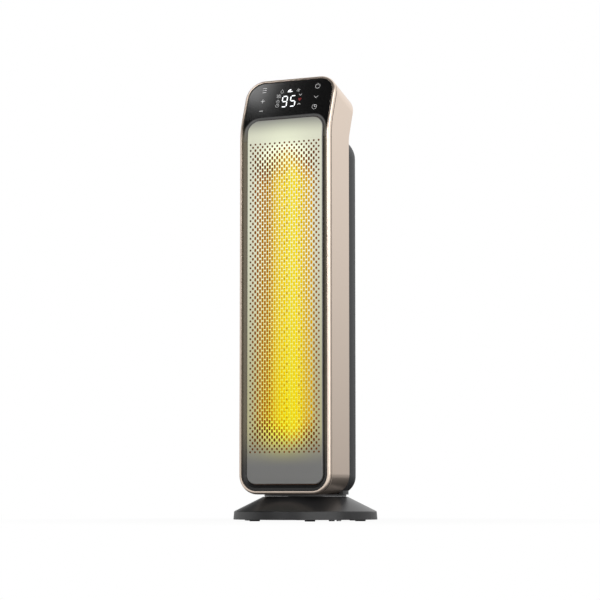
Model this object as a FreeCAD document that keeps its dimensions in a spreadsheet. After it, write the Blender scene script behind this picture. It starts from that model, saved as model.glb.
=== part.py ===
import FreeCAD, Part
import math
import os
import re

import Sketcher
from FreeCAD import Placement, Rotation, Vector

# A tower fan heater in millimetres: the origin is on the floor under the axis of the swing,
# the front faces -Y and Z points up.

SIZES = {
    # Base: a round shell with an upright rim and a cone that ends in a flat deck.
    "base_radius": 99.0,
    "rim_draft": 1.0,
    "rim_height": 11.2,
    "rim_round": 1.6,
    "foot_height": 2.0,
    "deck_level": 33.0,
    "deck_radius": 58.4,
    "deck_round": 1.5,
    "shell_wall": 2.6,
    "post_radius": 4.0,
    "post_inset": 19.0,
    # Bottom plate, feet and screws.
    "plate_thick": 2.6,
    "plate_gap": 0.4,
    "foot_radius": 7.0,
    "foot_inset": 16.0,
    "foot_sink": 1.0,
    "foot_gap": 0.2,
    "screw_radius": 1.5,
    "screw_head_radius": 3.2,
    "screw_head_height": 1.6,
    "screw_gap": 0.05,
    "base_screw_length": 12.0,
    # Swing bearing between the base and the tower.
    "bearing_radius": 24.0,
    "bearing_gap": 0.06,
    "collar_wall": 4.0,
    "collar_rise": 0.6,
    "slide_inner": 51.4,
    "slide_outer": 56.0,
    "slide_sink": 1.2,
    "slide_rise": 0.6,
    "slide_gap": 0.1,
    "running_gap": 0.3,
    # Swing drive: stepper, pinion and gear.
    "gear_module": 1.0,
    "gear_backlash": 0.3,
    "gear_spread": 0.1,
    "gear_bore_radius": 21.0,
    "gear_height": 5.0,
    "gear_drop": 0.5,
    "gear_fit": 0.05,
    "pressure_angle": 25.0,
    "stepper_radius": 14.0,
    "stepper_offset": 8.0,
    "stepper_boss_radius": 4.5,
    "stepper_boss_height": 0.8,
    "stepper_clear": 0.5,
    "pinion_shaft_radius": 2.5,
    "pinion_shaft_sink": 6.0,
    "ear_reach": 18.0,
    "ear_radius": 3.6,
    "ear_thick": 0.8,
    "motor_screw_length": 9.0,
    # Tip-over switch over a plunger that stands on the floor.
    "plunger_radius": 4.0,
    "plunger_collar_radius": 6.0,
    "plunger_collar_height": 2.0,
    "plunger_travel": 4.0,
    "plunger_tip": 2.4,
    "plunger_inset": 41.0,
    "plunger_angle": 63.7,
    "switch_length": 20.0,
    "switch_width": 10.2,
    "switch_height": 10.2,
    "switch_wall": 2.4,
    # Cord inlet at the back of the rim.
    "gland_radius": 4.0,
    "gland_bore": 3.2,
    "gland_flange_radius": 4.7,
    "gland_flange_length": 3.4,
    "gland_level": 6.9,
    "gland_inset": 0.4,
    "gland_gap": 0.3,
    # Turntable: spindle, plate, neck and the half-round pedestal under the rear cover.
    "turntable_level": 36.0,
    "turntable_thick": 1.6,
    "neck_radius": 56.4,
    "neck_wall": 6.4,
    "spindle_wall": 6.0,
    "clip_height": 0.9,
    "clip_sink": 1.0,
    "clip_reach": 4.0,
    "clip_gap": 0.05,
    "clip_land": 0.7,
    "pedestal_radius": 59.4,
    "pedestal_wall": 6.0,
    "pedestal_height": 6.5,
    "pedestal_gap": 0.3,
    # Band: flat front and sides, bent back at the head.
    "body_width": 138.2,
    "front_reach": 67.2,
    "body_depth": 62.1,
    "bend_level": 521.0,
    "bend_radius": 91.0,
    "lean_angle": 20.0,
    "head_rise": 61.6,
    "corner_low": 27.0,
    "corner_high": 27.0,
    "head_back_round": 11.0,
    "band_wall": 2.5,
    "band_edge_round": 1.6,
    # Front lip with a groove behind it and a tongue inside the band.
    "lip_width": 4.3,
    "lip_depth": 4.8,
    "lip_round": 3.8,
    "groove_width": 1.4,
    "tongue_depth": 4.2,
    "seat_gap": 0.2,
    # Bezel ring, split into a lower frame and an upper touch panel.
    "bezel_sink": 1.5,
    "bezel_depth": 6.0,
    "bezel_slope_width": 4.2,
    "bezel_slope_depth": 2.1,
    "bezel_split_gap": 0.2,
    "frame_thick": 2.2,
    # Grille: a shallow formed tray with a staggered field of graded slots.
    "grille_half_width": 57.2,
    "grille_low": 49.9,
    "grille_high": 549.8,
    "grille_corner_low": 13.0,
    "grille_corner_high": 17.0,
    "grille_sink": 1.3,
    "grille_thick": 1.2,
    "grille_gap": 0.8,
    "field_half_width": 51.9,
    "field_low": 93.3,
    "field_high": 516.0,
    "slot_width": 4.4,
    "slot_short": 5.0,
    "slot_long": 12.0,
    "fade_across": 22.0,
    "fade_along": 60.0,
    "outlet_margin": 4.0,
    # Chassis on the turntable.
    "chassis_radius": 53.0,
    "chassis_level": 42.0,
    "chassis_thick": 3.0,
    "boss_radius": 4.5,
    "chassis_screw_ring": 46.0,
    "deck_post_ring": 46.0,
    "wire_hole_radius": 9.0,
    "wire_hole_reach": 22.0,
    # Air path: decks, duct, scroll and tongue of the cross-flow fan.
    "lower_deck_level": 94.0,
    "upper_deck_level": 497.0,
    "deck_thick": 3.0,
    "deck_round_radius": 63.0,
    "duct_half_width": 40.0,
    "duct_back": 24.0,
    "duct_wall": 2.0,
    "fan_set_back": 14.0,
    "scroll_shift": 4.3,
    "scroll_end_angle": 70.0,
    "tongue_angle": 35.0,
    "tongue_gap": 4.0,
    # Fan wheel, its shaft and its motor.
    "wheel_radius": 30.0,
    "wheel_low_gap": 3.0,
    "wheel_high_gap": 7.5,
    "wheel_disc": 2.5,
    "blade_depth": 7.5,
    "blade_thick": 0.9,
    "blade_rake_angle": 24.0,
    "hub_radius": 8.0,
    "hub_height": 7.0,
    "shaft_radius": 3.0,
    "shaft_sink": 22.0,
    "shaft_gap": 0.04,
    "stub_radius": 2.5,
    "bush_radius": 7.0,
    "bush_drop": 2.0,
    "motor_radius": 27.0,
    "motor_height": 35.0,
    "motor_boss_radius": 9.0,
    "motor_boss_height": 4.0,
    "hub_clear": 2.0,
    # Heating element: bars and corrugated fins between two holders.
    "holder_height": 6.0,
    "holder_front": 50.0,
    "holder_back": 28.0,
    "element_front": 48.0,
    "element_back": 30.0,
    "bar_width": 7.0,
    "fin_pitch": 6.0,
    "fin_thick": 0.6,
    "element_gap": 0.2,
    "cutout_radius": 7.0,
    "cutout_height": 8.0,
    "cutout_drop": 27.0,
    "cutout_reach": 40.0,
    # Boards.
    "board_thick": 1.6,
    "main_board_half": 30.0,
    "main_board_height": 43.0,
    "main_board_reach": 42.0,
    "relay_length": 18.0,
    "relay_depth": 14.0,
    "relay_height": 14.0,
    "relay_rise": 8.0,
    "relay_spread": 19.0,
    "capacitor_radius": 6.0,
    "capacitor_length": 12.0,
    "capacitor_rise": 30.0,
    "display_half": 46.0,
    "display_height": 46.0,
    "display_rise": 6.0,
    # Rear cover, back of the head, intake panel and filter.
    "rear_radius": 69.3,
    "rear_wall": 2.5,
    "rear_low_round": 25.0,
    "rear_high_round": 30.0,
    "rear_top": 531.0,
    "rear_gap": 0.1,
    "head_cover_thick": 2.4,
    "head_cover_inset": 0.1,
    "window_low": 86.0,
    "window_high": 470.0,
    "window_start_angle": 12.0,
    "window_gap": 0.4,
    "vent_margin": 4.0,
    "vent_width": 4.2,
    "vent_rib": 4.0,
    "filter_thick": 0.9,
    "filter_gap": 0.3,
    "filter_inset": 4.0,
    # Overrun of every cut past the piece that it cuts.
    "overrun": 5.0,
}

FOOT_ANGLES = (30, 90, 150, 210, 270, 330)
POST_ANGLES = (60, 120, 240, 300)
CROSS_ANGLES = (0, 90, 180, 270)
DIAGONAL_ANGLES = (45, 135, 225, 315)
GEAR_TEETH = 60
PINION_TEETH = 15
FLANK_STEPS = 4
EDGE_STEPS = 4
SAME_SHARE = 0.001
DEDENDUM_SHARE = 1.25
BOW_SHARE = 0.25
BLADE_COUNT = 24
WHEEL_SECTIONS = 5
BAR_COUNT = 3
SLOT_COLUMNS = 8
SLOT_ROWS = 27
VENT_COLUMNS = 24
VENT_ROWS = 8

UP = Vector(0, 0, 1)
RIGHT = Vector(1, 0, 0)
BACK = Vector(0, 1, 0)

os.makedirs("parts", exist_ok=True)
doc = FreeCAD.newDocument("tower_heater")
sheet = doc.addObject("Spreadsheet::Sheet", "Sizes")
for row, (size_name, number) in enumerate(SIZES.items(), start=1):
    sheet.set(f"A{row}", size_name)
    sheet.set(f"B{row}", str(number))
    sheet.setAlias(f"B{row}", size_name)
doc.recompute()

nodes = {}


def full(formula):
    """The formula with the sheet's name in front of every size."""
    return re.sub(r"[a-z_]+", lambda word: f"Sizes.{word[0]}" if word[0] in SIZES else word[0], formula)


def value(formula):
    """The number that a formula over the sheet gives now."""
    return float(sheet.evalExpression(full(formula)))


def bind(thing, formulas):
    """Tie properties of an object to formulas over the sheet."""
    for path, formula in formulas.items():
        thing.setExpression(path, full(formula))
    return thing


def node(label, thing):
    """Name a finished sub-part."""
    thing.Label = label
    nodes[label] = thing
    return thing


def place(thing, x="0", y="0", z="0"):
    """Tie an object's place to three formulas."""
    return bind(thing, {"Placement.Base.x": x, "Placement.Base.y": y, "Placement.Base.z": z})


def cylinder(radius, height, x="0", y="0", z="0", axis=UP):
    """A round bar that grows from a point along an axis."""
    rod = doc.addObject("Part::Cylinder", "Rod")
    rod.Placement = Placement(Vector(), Rotation(UP, axis))
    return place(bind(rod, {"Radius": radius, "Height": height}), x, y, z)


def block(x, y, z):
    """A box between pairs of formulas along each axis."""
    solid = doc.addObject("Part::Box", "Block")
    spans = {"Length": x, "Width": y, "Height": z}
    bind(solid, {side: f"({high}) - ({low})" for side, (low, high) in spans.items()})
    return place(solid, x[0], y[0], z[0])


def group(things):
    """Separate solids kept together."""
    together = doc.addObject("Part::Compound", "Group")
    together.Links = list(things)
    return together


def cut(base, *tools):
    """The base less the tools, which don't touch each other."""
    rest = doc.addObject("Part::Cut", "Cut")
    rest.Base = base
    rest.Tool = tools[0] if len(tools) == 1 else group(tools)
    rest.Refine = True
    return rest


def fuse(*things):
    """One solid of several that meet."""
    whole = doc.addObject("Part::MultiFuse", "Fuse")
    whole.Shapes = list(things)
    whole.Refine = True
    return whole


def common(one, other):
    """What two solids share."""
    shared = doc.addObject("Part::Common", "Common")
    shared.Base = one
    shared.Tool = other
    return shared


def feature(shape):
    """An object that holds a worked-out shape."""
    thing = doc.addObject("Part::Feature", "Shape")
    thing.Shape = shape
    return thing


def around(ring, angle):
    """Formulas of a point on a ring, by its angle from the front towards the right."""
    return f"({ring}) * sin({angle})", f"-({ring}) * cos({angle})"


def arc_between(start, end, radius, turn):
    """The shorter arc from start to end, turning left (1) or right (-1)."""
    chord = end - start
    rise = math.sqrt(max(radius**2 - (chord.Length / 2) ** 2, 0))
    left = Vector(-chord.y, chord.x, 0).normalize()
    centre = (start + end) / 2 + left * (turn * rise)
    first, last = (start, end) if turn > 0 else (end, start)
    low = math.atan2(first.y - centre.y, first.x - centre.x)
    high = math.atan2(last.y - centre.y, last.x - centre.x)
    if high < low:
        high += 2 * math.pi
    return Part.ArcOfCircle(Part.Circle(centre, UP, radius), low, high)


def outline(body, plane, corners, arcs):
    """A closed sketch whose corners are pairs of formulas; arcs maps a side to (radius, turn)."""
    sketch = body.newObject("Sketcher::SketchObject", "Outline")
    support = [part for part in body.Origin.OriginFeatures if part.Role == plane][0]
    sketch.AttachmentSupport = [(support, "")]
    sketch.MapMode = "FlatFace"
    points = [Vector(value(across), value(along), 0) for across, along in corners]
    count = len(points)
    for side, start in enumerate(points):
        end = points[(side + 1) % count]
        if side in arcs:
            radius, turn = arcs[side]
            sketch.addGeometry(arc_between(start, end, value(radius), turn), False)
        else:
            sketch.addGeometry(Part.LineSegment(start, end), False)

    def tip(side, at_end):
        backwards = side in arcs and arcs[side][1] < 0
        return 2 if at_end != backwards else 1

    for side, (across, along) in enumerate(corners):
        following = (side + 1) % count
        sketch.addConstraint(
            Sketcher.Constraint("Coincident", side, tip(side, True), following, tip(following, False))
        )
        for kind, formula in (("DistanceX", across), ("DistanceY", along)):
            rule = Sketcher.Constraint(kind, -1, 1, side, tip(side, False), value(formula))
            sketch.setExpression(f"Constraints[{sketch.addConstraint(rule)}]", full(formula))
    for side, (radius, turn) in arcs.items():
        rule = sketch.addConstraint(Sketcher.Constraint("Radius", side, value(radius)))
        sketch.setExpression(f"Constraints[{rule}]", full(radius))
    return sketch


def pad(plane, corners, length, arcs=None, level="0", both=False):
    """A body with one outline pushed out from a plane, or to both sides of it."""
    body = doc.addObject("PartDesign::Body", "Body")
    sketch = outline(body, plane, corners, arcs or {})
    bind(sketch, {"AttachmentOffset.Base.z": level})
    push = body.newObject("PartDesign::Pad", "Pad")
    push.Profile = sketch
    push.SideType = "Symmetric" if both else "One side"
    bind(push, {"Length": length})
    return body


def turned(corners, arcs=None):
    """A body with an outline of radius and height turned about the vertical axis."""
    body = doc.addObject("PartDesign::Body", "Body")
    sketch = outline(body, "XZ_Plane", corners, arcs or {})
    turn = body.newObject("PartDesign::Revolution", "Revolution")
    turn.Profile = sketch
    turn.ReferenceAxis = (sketch, ["V_Axis"])
    turn.Angle = 360
    return body


def same(one, other):
    """True where two lengths differ by less than a small share of the overrun."""
    return abs(one - other) < SAME_SHARE * value("overrun")


def edges_at(shape, spots):
    """Names of the edges whose centre lies on one of the spots."""
    found = []
    for index, edge in enumerate(shape.Edges, start=1):
        if any(same((edge.CenterOfMass - spot).Length, 0) for spot in spots):
            found.append(f"Edge{index}")
    return found


def rounded(body, kind, radius, names):
    """Round or bevel the named edges of a body's last feature."""
    last = body.Tip
    dress = body.newObject(kind, "Dress")
    dress.Base = (last, names)
    bind(dress, radius)
    return body


def rounded_box(half_width, low, high, low_round, high_round):
    """Corners and arcs of an upright rectangle with rounded corners."""
    corners = [
        (f"-({half_width}) + ({low_round})", low),
        (f"({half_width}) - ({low_round})", low),
        (half_width, f"({low}) + ({low_round})"),
        (half_width, f"({high}) - ({high_round})"),
        (f"({half_width}) - ({high_round})", high),
        (f"-({half_width}) + ({high_round})", high),
        (f"-({half_width})", f"({high}) - ({high_round})"),
        (f"-({half_width})", f"({low}) + ({low_round})"),
    ]
    return corners, {1: (low_round, 1), 3: (high_round, 1), 5: (high_round, 1), 7: (low_round, 1)}


FRONT = "(-front_reach)"
TOWER_LOW = "turntable_level"
LONG = "(front_reach + body_depth)"


def front_point(depth, climb):
    """Formulas of a point some depth behind the face and some climb up the leaning head."""
    reach = f"(bend_radius - ({depth}))"
    across = f"{FRONT} + bend_radius - {reach} * cos(lean_angle) + ({climb}) * sin(lean_angle)"
    along = f"bend_level + {reach} * sin(lean_angle) + ({climb}) * cos(lean_angle)"
    return f"({across})", f"({along})"


def bent_profile(near, far, inset, low=None, back_round=None):
    """Side view of the tower between two depths: upright, then bent back at the head.

    It is drawn in by an inset at the bottom and top. A back round softens the head's rear corner.
    """
    foot = low or f"({TOWER_LOW} + ({inset}))"
    climb = f"(head_rise - ({inset}))"
    start = [
        (f"{FRONT} + ({near})", foot),
        (f"{FRONT} + ({near})", "bend_level"),
        front_point(near, "0"),
        front_point(near, climb),
    ]
    corner = [front_point(far, climb)]
    end = [
        front_point(far, "0"),
        (f"{FRONT} + ({far})", "bend_level"),
        (f"{FRONT} + ({far})", foot),
    ]
    arcs = {1: (f"bend_radius - ({near})", -1)}
    if back_round:
        corner = [
            front_point(f"({far}) - ({back_round})", climb),
            front_point(far, f"{climb} - ({back_round})"),
        ]
        arcs[4] = (back_round, -1)
    arcs[len(start) + len(corner)] = (f"bend_radius - ({far})", 1)
    return start + corner + end, arcs


def bent_block(near, far, inset, low=None):
    """The tower's front outline, drawn in by an inset, between two depths behind its face.

    It stands upright, bends back at the head and has round corners. A given low edge is square.
    """
    foot = low or f"({TOWER_LOW} + ({inset}))"
    climb = f"(head_rise - ({inset}))"
    corners, arcs = bent_profile(near, far, inset, low)
    half = f"(body_width / 2 - ({inset}))"
    body = pad("YZ_Plane", corners, f"2 * {half}", arcs, both=True)
    doc.recompute()
    middle = f"(({near}) + ({far})) / 2"
    top = [value(formula) for formula in front_point(middle, climb)]
    bottom = [value(f"{FRONT} + {middle}"), value(foot)]
    for (y, z), radius in ((top, "corner_high"), (bottom, "corner_low")):
        if low and radius == "corner_low":
            continue
        names = edges_at(body.Tip.Shape, [Vector(sign * value(half), y, z) for sign in (-1, 1)])
        rounded(body, "PartDesign::Fillet", {"Radius": f"{radius} - ({inset})"}, names)
        doc.recompute()
    return body


def depth_of(point):
    """How far a point lies behind the tower's face."""
    start = value(FRONT)
    bend = value("bend_radius")
    rise = point.z - value("bend_level")
    if rise <= 0:
        return point.y - start
    inward = start + bend - point.y
    swing = min(math.atan2(rise, inward), math.radians(value("lean_angle")))
    return bend - inward * math.cos(swing) - rise * math.sin(swing)


def rim_edges(shape, depth):
    """Names of the edges that border the faces at one depth, without the bend's own lines."""
    found = []
    for index, edge in enumerate(shape.Edges, start=1):
        if all(same(depth_of(point), depth) for point in points_along(edge)) and borders(shape, edge, depth):
            found.append(f"Edge{index}")
    return found


def points_along(edge):
    """The ends of an edge and a few points between them."""
    first, last = edge.ParameterRange
    return [edge.valueAt(first + (last - first) * step / EDGE_STEPS) for step in range(EDGE_STEPS + 1)]


def borders(shape, edge, depth):
    """True where just one of an edge's two faces lies at the depth."""
    faces = shape.ancestorsOfType(edge, Part.Face)
    return sum(all(same(depth_of(corner.Point), depth) for corner in face.Vertexes) for face in faces) == 1


# Base shell: rim, cone and deck in one wall, with the swing's collar and four screw posts.
RIM_TOP = "(foot_height + rim_height)"
RIM_INNER = "(base_radius - shell_wall)"
DECK_UNDER = "(deck_level - shell_wall)"
CONE_RUN = "(base_radius - rim_draft - deck_radius)"
GLAND_FACE = f"({RIM_INNER} - rim_draft - gland_inset)"
GLAND_START = f"({GLAND_FACE} - gland_flange_length)"
PLATE_TOP = "(foot_height + plate_thick)"
POST_RING = "(base_radius - post_inset)"
FOOT_RING = "(base_radius - foot_inset)"


def build_base_shell():
    bore = "(bearing_radius + bearing_gap)"
    collar = "(bearing_radius + collar_wall)"
    profile = [
        ("base_radius", "foot_height"),
        ("base_radius - rim_draft", RIM_TOP),
        ("deck_radius", "deck_level"),
        ("slide_outer + running_gap", "deck_level"),
        ("slide_outer + running_gap", "deck_level - slide_sink"),
        ("slide_inner - running_gap", "deck_level - slide_sink"),
        ("slide_inner - running_gap", "deck_level"),
        (collar, "deck_level"),
        (collar, "deck_level + collar_rise"),
        (bore, "deck_level + collar_rise"),
        (bore, DECK_UNDER),
        ("deck_radius - shell_wall / 2", DECK_UNDER),
        (f"{RIM_INNER} - rim_draft", f"{RIM_TOP} - shell_wall / 2"),
        (RIM_INNER, "foot_height"),
    ]
    shell = turned(profile)
    doc.recompute()
    for radius, level, size in (
        ("base_radius - rim_draft", RIM_TOP, "rim_round"),
        ("deck_radius", "deck_level", "deck_round"),
    ):
        names = [
            f"Edge{index}"
            for index, edge in enumerate(shell.Tip.Shape.Edges, start=1)
            if isinstance(edge.Curve, Part.Circle)
            and same(edge.Curve.Radius, value(radius))
            and same(edge.Curve.Center.z, value(level))
        ]
        rounded(shell, "PartDesign::Fillet", {"Radius": size}, names)
        doc.recompute()
    middle_of_wall = [
        ("0", PLATE_TOP),
        ("base_radius - rim_draft - shell_wall / 2", PLATE_TOP),
        ("base_radius - rim_draft - shell_wall / 2", f"{RIM_TOP} - shell_wall / 2"),
        ("deck_radius - shell_wall / 2", "deck_level - shell_wall / 2"),
        ("0", "deck_level - shell_wall / 2"),
    ]
    rods = [
        cylinder("post_radius", "deck_level", *around(POST_RING, angle), PLATE_TOP) for angle in POST_ANGLES
    ]
    posts = common(group(rods), turned(middle_of_wall))
    pilots = [
        cylinder(
            "screw_radius + screw_gap",
            "base_screw_length",
            *around(POST_RING, angle),
            "foot_height",
        )
        for angle in POST_ANGLES
    ]
    inlet = cylinder(
        "gland_radius + gland_gap",
        "gland_flange_length + overrun",
        "0",
        GLAND_START,
        "gland_level",
        BACK,
    )
    node("base_shell", cut(fuse(shell, posts), *pilots, inlet))


# Bottom plate: a disc with foot seats, two motor posts and the wall that carries the switch.
GEAR_TOP = f"({DECK_UNDER} - gear_drop)"
GEAR_LOW = f"({GEAR_TOP} - gear_height)"
STEPPER_TOP = f"({GEAR_LOW} - stepper_boss_height - stepper_clear)"
PINION_REACH = f"(gear_module * {GEAR_TEETH + PINION_TEETH} / 2 + gear_spread)"
STEPPER_X = f"(-{PINION_REACH} - stepper_offset)"
PLUNGER = around("base_radius - plunger_inset", "plunger_angle")
COLLAR_LOW = f"({PLATE_TOP} + plunger_travel)"
PLUNGER_TOP = f"({COLLAR_LOW} + plunger_collar_height + plunger_tip)"
SWITCH_LOW = f"({PLUNGER_TOP} + running_gap)"
SWITCH_BACK = f"({PLUNGER[1]} + plunger_collar_radius + running_gap)"


def build_base_plate():
    disc = cylinder(f"{RIM_INNER} - plate_gap", "plate_thick", z="foot_height")
    motor_posts = [
        cylinder("ear_radius", f"{STEPPER_TOP} - ear_thick - {PLATE_TOP}", STEPPER_X, side, PLATE_TOP)
        for side in ("ear_reach", "-ear_reach")
    ]
    wall = block(
        (f"{PLUNGER[0]} - switch_length / 2", f"{PLUNGER[0]} + switch_length / 2"),
        (SWITCH_BACK, f"{SWITCH_BACK} + switch_wall"),
        (PLATE_TOP, f"{SWITCH_LOW} + switch_height"),
    )
    seats = [
        cylinder("foot_radius + foot_gap", "foot_sink", *around(FOOT_RING, angle), "foot_height")
        for angle in FOOT_ANGLES
    ]
    holes = [
        cylinder(
            "screw_radius + screw_gap",
            "plate_thick + overrun",
            *around(POST_RING, angle),
            "foot_height - overrun / 2",
        )
        for angle in POST_ANGLES
    ]
    guide = cylinder(
        "plunger_radius + running_gap", "plate_thick + overrun", *PLUNGER, "foot_height - overrun / 2"
    )
    notch = block(
        ("-gland_flange_radius - gland_gap", "gland_flange_radius + gland_gap"),
        (f"{GLAND_START} - gland_gap", "base_radius"),
        ("foot_height - overrun", f"{PLATE_TOP} + overrun"),
    )
    pilots = [
        cylinder(
            "screw_radius + screw_gap",
            "motor_screw_length",
            STEPPER_X,
            side,
            f"{STEPPER_TOP} - motor_screw_length",
        )
        for side in ("ear_reach", "-ear_reach")
    ]
    node("base_plate", cut(fuse(disc, *motor_posts, wall), *seats, *holes, guide, notch, *pilots))


def screw(length, x, y, seat, points_down):
    """A pan-head screw whose head sits on a seat level."""
    if points_down:
        head = cylinder("screw_head_radius", "screw_head_height", x, y, seat)
        shank = cylinder("screw_radius", length, x, y, f"{seat} - ({length})")
    else:
        head = cylinder("screw_head_radius", "screw_head_height", x, y, f"{seat} - screw_head_height")
        shank = cylinder("screw_radius", length, x, y, seat)
    return fuse(head, shank)


def build_base_fittings():
    feet = [
        cylinder("foot_radius", "foot_height + foot_sink", *around(FOOT_RING, angle))
        for angle in FOOT_ANGLES
    ]
    node("rubber_feet", group(feet))
    screws = [
        screw("base_screw_length", *around(POST_RING, angle), "foot_height", False) for angle in POST_ANGLES
    ]
    node("base_screws", group(screws))
    ring = [
        ("slide_inner", "deck_level - slide_sink"),
        ("slide_outer", "deck_level - slide_sink"),
        ("slide_outer", "deck_level + slide_rise"),
        ("slide_inner", "deck_level + slide_rise"),
    ]
    node("slide_ring", turned(ring))
    tube = cylinder("gland_radius", "gland_flange_length", "0", GLAND_FACE, "gland_level", BACK)
    flange = cylinder("gland_flange_radius", "gland_flange_length", "0", GLAND_START, "gland_level", BACK)
    bore = cylinder(
        "gland_bore",
        "2 * gland_flange_length + overrun",
        "0",
        f"{GLAND_START} - overrun / 2",
        "gland_level",
        BACK,
    )
    node("cord_gland", cut(common(fuse(tube, flange), cylinder("base_radius", RIM_TOP)), bore))


def build_tip_over():
    rod = cylinder("plunger_radius", PLUNGER_TOP, *PLUNGER)
    collar = cylinder("plunger_collar_radius", "plunger_collar_height", *PLUNGER, COLLAR_LOW)
    node("tip_plunger", fuse(rod, collar))
    body = block(
        (f"{PLUNGER[0]} - switch_length / 2", f"{PLUNGER[0]} + switch_length / 2"),
        (f"{SWITCH_BACK} - switch_width", SWITCH_BACK),
        (SWITCH_LOW, f"{SWITCH_LOW} + switch_height"),
    )
    node("tip_switch", body)


# Swing drive: an involute gear on the spindle and a pinion on the stepper.
def gear_face(teeth, turn_degrees):
    """A spur gear's face about the origin, with involute flanks and a tooth at the given angle."""
    module = value("gear_module")
    pressure = math.radians(value("pressure_angle"))
    pitch = module * teeth / 2
    base = pitch * math.cos(pressure)
    root = pitch - module * DEDENDUM_SHARE
    tip = pitch + module - value("gear_backlash") / 2
    half_pitch = math.pi / (2 * teeth) - value("gear_backlash") / (4 * pitch)

    def half_angle(radius):
        slope = math.acos(min(base / radius, 1))
        return half_pitch + math.tan(pressure) - pressure - math.tan(slope) + slope

    start = max(base, root)
    radii = [start + (tip - start) * step / FLANK_STEPS for step in range(FLANK_STEPS + 1)]
    flank = [(root, half_angle(start))] * (root < base) + [(radius, half_angle(radius)) for radius in radii]
    points = []
    for tooth in range(teeth):
        middle = math.radians(turn_degrees) + 2 * math.pi * tooth / teeth
        around_tooth = [(radius, -angle) for radius, angle in flank]
        around_tooth += [(radius, angle) for radius, angle in reversed(flank)]
        for radius, angle in around_tooth:
            points.append(Vector(radius * math.cos(middle + angle), radius * math.sin(middle + angle), 0))
    return Part.Face(Part.makePolygon(points + points[:1]))


def build_swing_drive():
    level = Vector(0, 0, value(GEAR_LOW))
    rise = UP * value("gear_height")
    wheel = feature(gear_face(GEAR_TEETH, 180).translated(level).extrude(rise))
    bore = cylinder("gear_bore_radius + gear_fit", "gear_height + overrun", z=f"{GEAR_LOW} - overrun / 2")
    node("swing_gear", cut(wheel, bore))
    pinion_axis = Vector(-value(PINION_REACH), 0, 0)
    pinion_face = gear_face(PINION_TEETH, 180 / PINION_TEETH)
    toothed = feature(pinion_face.translated(level + pinion_axis).extrude(rise))
    shaft_low = f"{STEPPER_TOP} + stepper_boss_height - pinion_shaft_sink"
    shaft = cylinder("pinion_shaft_radius", f"{GEAR_TOP} - ({shaft_low})", f"-{PINION_REACH}", "0", shaft_low)
    node("swing_pinion", fuse(toothed, shaft))
    can = cylinder("stepper_radius", f"{STEPPER_TOP} - {PLATE_TOP}", STEPPER_X, "0", PLATE_TOP)
    boss = cylinder("stepper_boss_radius", "stepper_boss_height", f"-{PINION_REACH}", "0", STEPPER_TOP)
    ear_low = f"{STEPPER_TOP} - ear_thick"
    strap = block(
        (f"{STEPPER_X} - ear_radius", f"{STEPPER_X} + ear_radius"),
        ("-ear_reach", "ear_reach"),
        (ear_low, STEPPER_TOP),
    )
    ears = [
        cylinder("ear_radius", "ear_thick", STEPPER_X, side, ear_low) for side in ("ear_reach", "-ear_reach")
    ]
    sink = cylinder(
        "pinion_shaft_radius + bearing_gap",
        "pinion_shaft_sink + overrun",
        f"-{PINION_REACH}",
        "0",
        f"{shaft_low} - running_gap",
    )
    holes = [
        cylinder(
            "screw_radius + screw_gap",
            "ear_thick + overrun",
            STEPPER_X,
            side,
            f"{ear_low} - overrun / 2",
        )
        for side in ("ear_reach", "-ear_reach")
    ]
    node("swing_motor", cut(fuse(can, boss, strap, *ears), sink, *holes))
    screws = [
        screw("motor_screw_length", STEPPER_X, side, STEPPER_TOP, True)
        for side in ("ear_reach", "-ear_reach")
    ]
    node("motor_screws", group(screws))


# Turntable: the spindle turns in the collar, the neck runs over the slide ring.
CLIP_TOP = f"({GEAR_LOW} - clip_gap)"
CLIP_LOW = f"({CLIP_TOP} - clip_height)"
REAR_LINE = f"({FRONT} + body_depth)"


def build_turntable():
    plate_under = "(turntable_level - turntable_thick)"
    neck_low = "(deck_level + slide_rise + slide_gap)"
    groove = "(gear_bore_radius - clip_sink)"
    bore = "(bearing_radius - spindle_wall)"
    profile = [
        (bore, f"{CLIP_LOW} - clip_land"),
        ("gear_bore_radius", f"{CLIP_LOW} - clip_land"),
        ("gear_bore_radius", f"{CLIP_LOW} - clip_gap"),
        (groove, f"{CLIP_LOW} - clip_gap"),
        (groove, f"{CLIP_TOP} + clip_gap"),
        ("gear_bore_radius", f"{CLIP_TOP} + clip_gap"),
        ("gear_bore_radius", GEAR_TOP),
        ("bearing_radius", GEAR_TOP),
        ("bearing_radius", plate_under),
        ("neck_radius - neck_wall", plate_under),
        ("neck_radius - neck_wall", neck_low),
        ("neck_radius", neck_low),
        ("neck_radius", "turntable_level"),
        (bore, "turntable_level"),
    ]
    pedestal_ring = cut(
        cylinder("pedestal_radius", "pedestal_height", z="turntable_level"),
        cylinder(
            "pedestal_radius - pedestal_wall", "pedestal_height + overrun", z="turntable_level - overrun / 2"
        ),
    )
    rear_half = block(
        ("-base_radius", "base_radius"),
        (f"{REAR_LINE} + pedestal_gap", "base_radius"),
        ("turntable_level - overrun", "turntable_level + pedestal_height + overrun"),
    )
    holes = [
        cylinder(
            "screw_radius + screw_gap",
            "turntable_thick + overrun",
            *around("chassis_screw_ring", angle),
            f"{plate_under} - overrun / 2",
        )
        for angle in CROSS_ANGLES
    ]
    node("turntable", cut(fuse(turned(profile), common(pedestal_ring, rear_half)), *holes))
    ring = cut(
        cylinder("gear_bore_radius + clip_reach", "clip_height", z=CLIP_LOW),
        cylinder(
            "gear_bore_radius - clip_sink + clip_gap", "clip_height + overrun", z=f"{CLIP_LOW} - overrun / 2"
        ),
    )
    mouth = block(
        ("-gear_bore_radius / 2", "gear_bore_radius / 2"),
        ("0", "base_radius"),
        (f"{CLIP_LOW} - overrun", f"{CLIP_TOP} + overrun"),
    )
    node("gear_clip", cut(ring, mouth))


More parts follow.
